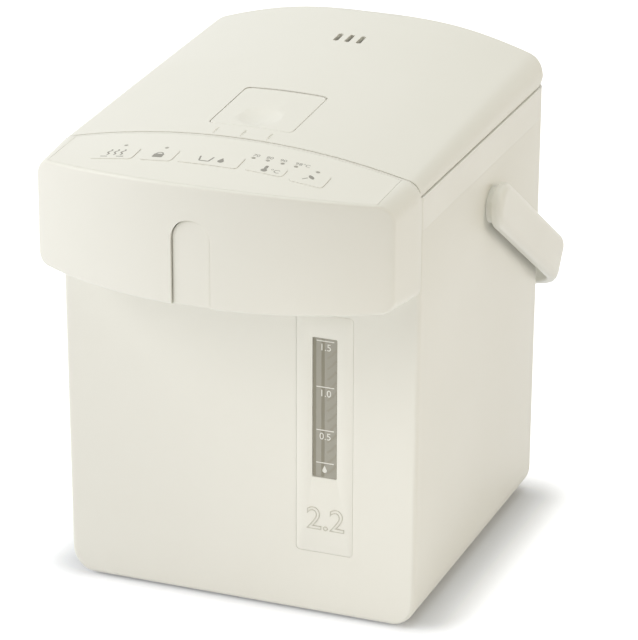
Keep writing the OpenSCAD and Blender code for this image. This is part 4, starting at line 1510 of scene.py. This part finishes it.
@dataclass
class Handle:
    """The carrying handle, stored behind the body, and its collars."""

    half: float = 104.0
    reach: float = 132.06
    band: float = 23.5
    arm: float = 6.0
    grip: float = 9.0
    bend: float = 27.0
    inner_bend: float = 18.0
    pivot: Flat = (104.0, 191.6)
    stow: float = 33.6
    edge: float = 2.9
    edge_run: float = 5.5
    socket: float = 4.05
    steps: int = 12

    COLLAR = ((88.5, 1.55), (88.5, 6), (94.9, 6), (94.91, 9.2), (97.3, 9.2), (97.7, 8.8),
              (97.7, 4), (101.4, 4), (101.8, 3.6), (101.8, 1.0))

    def path(self) -> list[Station]:
        """Stations from one pivot to the other.

        Returns:
            Outer and inner point (x and reach) and half band width at each station.
        """
        rows: list[Station] = []
        wide, inside = self.band / 2, self.half - self.arm
        for i in range(1, self.steps + 1):
            turn = radians(90 * i / self.steps)
            back = -wide * cos(turn)
            tip = max(0.0, 1 - (wide + back) / self.edge_run)
            fall = self.edge * (1 - sqrt(1 - tip ** 2))
            rows.append((self.half - fall, back, inside, back,
                         max(wide * sin(turn), 0.05)))
        for share in (0.25, 0.5, 0.75):
            along = (self.reach - self.bend) * share
            rows.append((self.half, along, inside, along, wide))
        deep = self.reach - self.grip
        outer = arc(self.half - self.bend, self.reach - self.bend, self.bend, 0, 90, self.steps)
        inner = arc(inside - self.inner_bend, deep - self.inner_bend, self.inner_bend, 0, 90,
                    self.steps)
        rows += [(*a, *b, wide) for a, b in zip(outer, inner)]
        for share in (0.8, 0.6, 0.4, 0.2):
            x = (self.half - self.bend) * share
            rows.append((x, self.reach, x, deep, wide))
        left = [(-ox, oy, -ix, iy, w) for ox, oy, ix, iy, w in reversed(rows)]
        return [*rows, (0.0, self.reach, 0.0, deep, wide), *left]

    def place(self, x: float, along: float, side: float) -> Point:
        """Turns a point in the handle's own plane to where it is stored.

        Args:
            x: Place across the pot.
            along: Distance from the pivot axis.
            side: Place across the band.

        Returns:
            The point.
        """
        c, s = cos(radians(self.stow)), sin(radians(self.stow))
        y, z = self.pivot
        return (x, y + along * c + side * s, z - along * s + side * c)

    def section(self, row: Station) -> Ring:
        """Ring across the band, with round edges.

        Args:
            row: A station of the path.

        Returns:
            The ring.
        """
        ox, oy, ix, iy, wide = row
        long = hypot(ox - ix, oy - iy)
        squash = self.edge / self.edge_run
        low = wide * squash
        outer = min(self.edge, low * 0.98, long / 2 * 0.96)
        inner = outer * 0.4
        ring = []
        for d, side in rounded_rect(0, long, -low, low, [outer, inner, inner, outer], 8, 2):
            share = d / long
            ring.append(self.place(ox + (ix - ox) * share, oy + (iy - oy) * share,
                                   side / squash))
        return ring

    def build(self) -> None:
        """Makes the handle and the collars."""
        band = loft("carrying_handle", [self.section(row) for row in self.path()])
        inside = self.half - self.arm
        carve(band, *[rod(side * (inside - 1), side * (inside + 4), self.socket, *self.pivot, 48)
                      for side in (-1, 1)])
        finish_piece(band, Body.HANDLE, Slot.SHELL, Finish.SHELL, "handle")
        collars = join([loft("handle_collars", about_x([(side * x, r) for x, r in self.COLLAR],
                                                       *self.pivot, 64)) for side in (-1, 1)])
        finish_piece(collars, Body.HOUSING, Slot.SHELL, Finish.SHELL, "handle_pivots")


# ---- studio


@dataclass
class Studio:
    """Floor, light, background and camera."""

    place: Point = (0.65119, -1.55333, 0.83480)
    azimuth: float = 21.4
    elevation: float = 22.02
    roll: float = 0.139
    lens: float = 207.9
    picture: tuple[int, int] = (638, 640)
    floor_size: float = 12.0
    floor_colour: Sequence[float] = (0.8, 0.82, 0.87, 1)
    floor_roughness: float = 0.9
    foot_half: Point = (0.092, 0.078, 0.0)
    shadow_reach: float = 0.045
    floor_lift: float = 0.8
    surround: float = 0.32

    LAMPS = (("key_light", (-1.8, -1.3, 1.3), 1.6, 34, "FFFFFF"),
             ("top_light", (0.1, 0.2, 2.3), 1.8, 20, "F3FBFF"),
             ("fill_light", (2.0, 0.2, 0.8), 1.4, 9.8, "FFF4E0"),
             ("table_bounce", (0.14, -0.3, 0.015), 0.25, 0.25, "FFFBF2"))
    AIM = Vector((0, 0, 0.13))

    def build(self) -> None:
        """Sets the stage."""
        self.floor()
        self.world()
        for lamp in self.LAMPS:
            self.lamp(*lamp)
        self.camera()
        scene = bpy.context.scene
        scene.view_settings.view_transform = "Standard"
        scene.view_settings.look = "None"
        scene.view_settings.exposure = 0
        scene.view_settings.gamma = 1
        scene.render.resolution_x, scene.render.resolution_y = self.picture
        scene.render.resolution_percentage = 100

    def floor(self) -> None:
        """A pale floor that is seen white away from the pot and keeps the pot's shadow."""
        floor = created("studio_floor", bpy.ops.mesh.primitive_plane_add, size=self.floor_size,
                        location=(0, 0, 0))
        material, tree, shader = blank_material("white_floor")
        spot = add_node(tree, "TexCoord", output="Object")
        for operation, other in (("SUBTRACT", at(0, BODY_DEPTH / 2, 0)), ("ABSOLUTE", None),
                                 ("SUBTRACT", self.foot_half), ("MAXIMUM", (0, 0, 0))):
            values = {0: spot} if other is None else {0: spot, 1: other}
            spot = add_node(tree, "VectorMath", values, "Vector", operation=operation)
        away = add_node(tree, "VectorMath", {0: spot}, "Value", operation="LENGTH")
        lift = add_node(tree, "MapRange", {"Value": away, "From Max": self.shadow_reach,
                                           "To Max": self.floor_lift}, "Result",
                        interpolation_type="SMOOTHSTEP")
        glow = add_node(tree, "Math", {0: lift, 1: self.seen(tree)}, operation="MULTIPLY")
        feed(shader, {"Base Color": self.floor_colour, "Roughness": self.floor_roughness,
                      "Emission Color": (1, 1, 1, 1), "Emission Strength": glow})
        floor.data.materials.append(material)

    @staticmethod
    def seen(tree: bpy.types.NodeTree) -> Socket:
        """One for camera, glossy and transmitted rays, and zero for rays that light things.

        Args:
            tree: The node tree.

        Returns:
            The switch as an output socket.
        """
        path = add_node(tree, "LightPath").node.outputs
        mirrored = add_node(tree, "Math", {0: path["Is Glossy Ray"],
                                           1: path["Is Transmission Ray"]}, operation="MAXIMUM")
        return add_node(tree, "Math", {0: path["Is Camera Ray"], 1: mirrored},
                        operation="MAXIMUM")

    def world(self) -> None:
        """A white surround for the camera and soft warm light from all sides."""
        world = bpy.data.worlds.new("studio")
        bpy.context.scene.world = world
        world.use_nodes = True
        tree = world.node_tree
        soft = tree.nodes["Background"]
        feed(soft, {"Color": linear("FEF4DE"), "Strength": self.surround})
        white = add_node(tree, "Background", {"Color": (1, 1, 1, 1), "Strength": 1.0})
        mix = add_node(tree, "MixShader", {"Fac": self.seen(tree),
                                           1: soft.outputs["Background"], 2: white})
        feed(tree.nodes["World Output"], {"Surface": mix})

    def lamp(self, name: str, place: Point, size: float, power: float, colour: str) -> None:
        """A square soft lamp that faces the pot.

        Args:
            name: Name of the lamp.
            place: Where it stands, in metres.
            size: Side of the square in metres.
            power: Power in watts.
            colour: Colour as an sRGB hex code.
        """
        lamp = created(name, bpy.ops.object.light_add, type="AREA", location=place)
        lamp.data.size = size
        lamp.data.energy = power
        lamp.data.color = linear(colour)[:3]
        lamp.rotation_euler = (self.AIM - Vector(place)).to_track_quat("-Z", "Y").to_euler()
        lamp.visible_camera = False

    def camera(self) -> None:
        """The camera that looks down at the pot from its right front."""
        x, y, z = self.place
        camera = created("main_camera", bpy.ops.object.camera_add,
                         location=(x, y + FRONT_Y * MM, z))
        a, e = radians(self.azimuth), radians(self.elevation)
        aim = Vector((-sin(a) * cos(e), cos(a) * cos(e), -sin(e)))
        camera.rotation_euler = aim.to_track_quat("-Z", "Y").to_euler()
        camera.rotation_euler.rotate_axis("Z", radians(self.roll))
        camera.data.sensor_width = 36
        camera.data.lens = self.lens
        camera.data.clip_end = 20
        camera.data.dof.use_dof = False
        bpy.context.scene.camera = camera


# ---- main


def write_sizes() -> None:
    """Brings the view layer up to date."""
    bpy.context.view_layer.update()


def main() -> None:
    """Builds the pot, dresses it and sets the stage."""
    dress_cad_nodes()
    for part in (BodyShell(), Gauge(), Head(), Lid(), Handle(), Studio()):
        part.build()
    write_sizes()


if __name__ == "__main__":
    main()
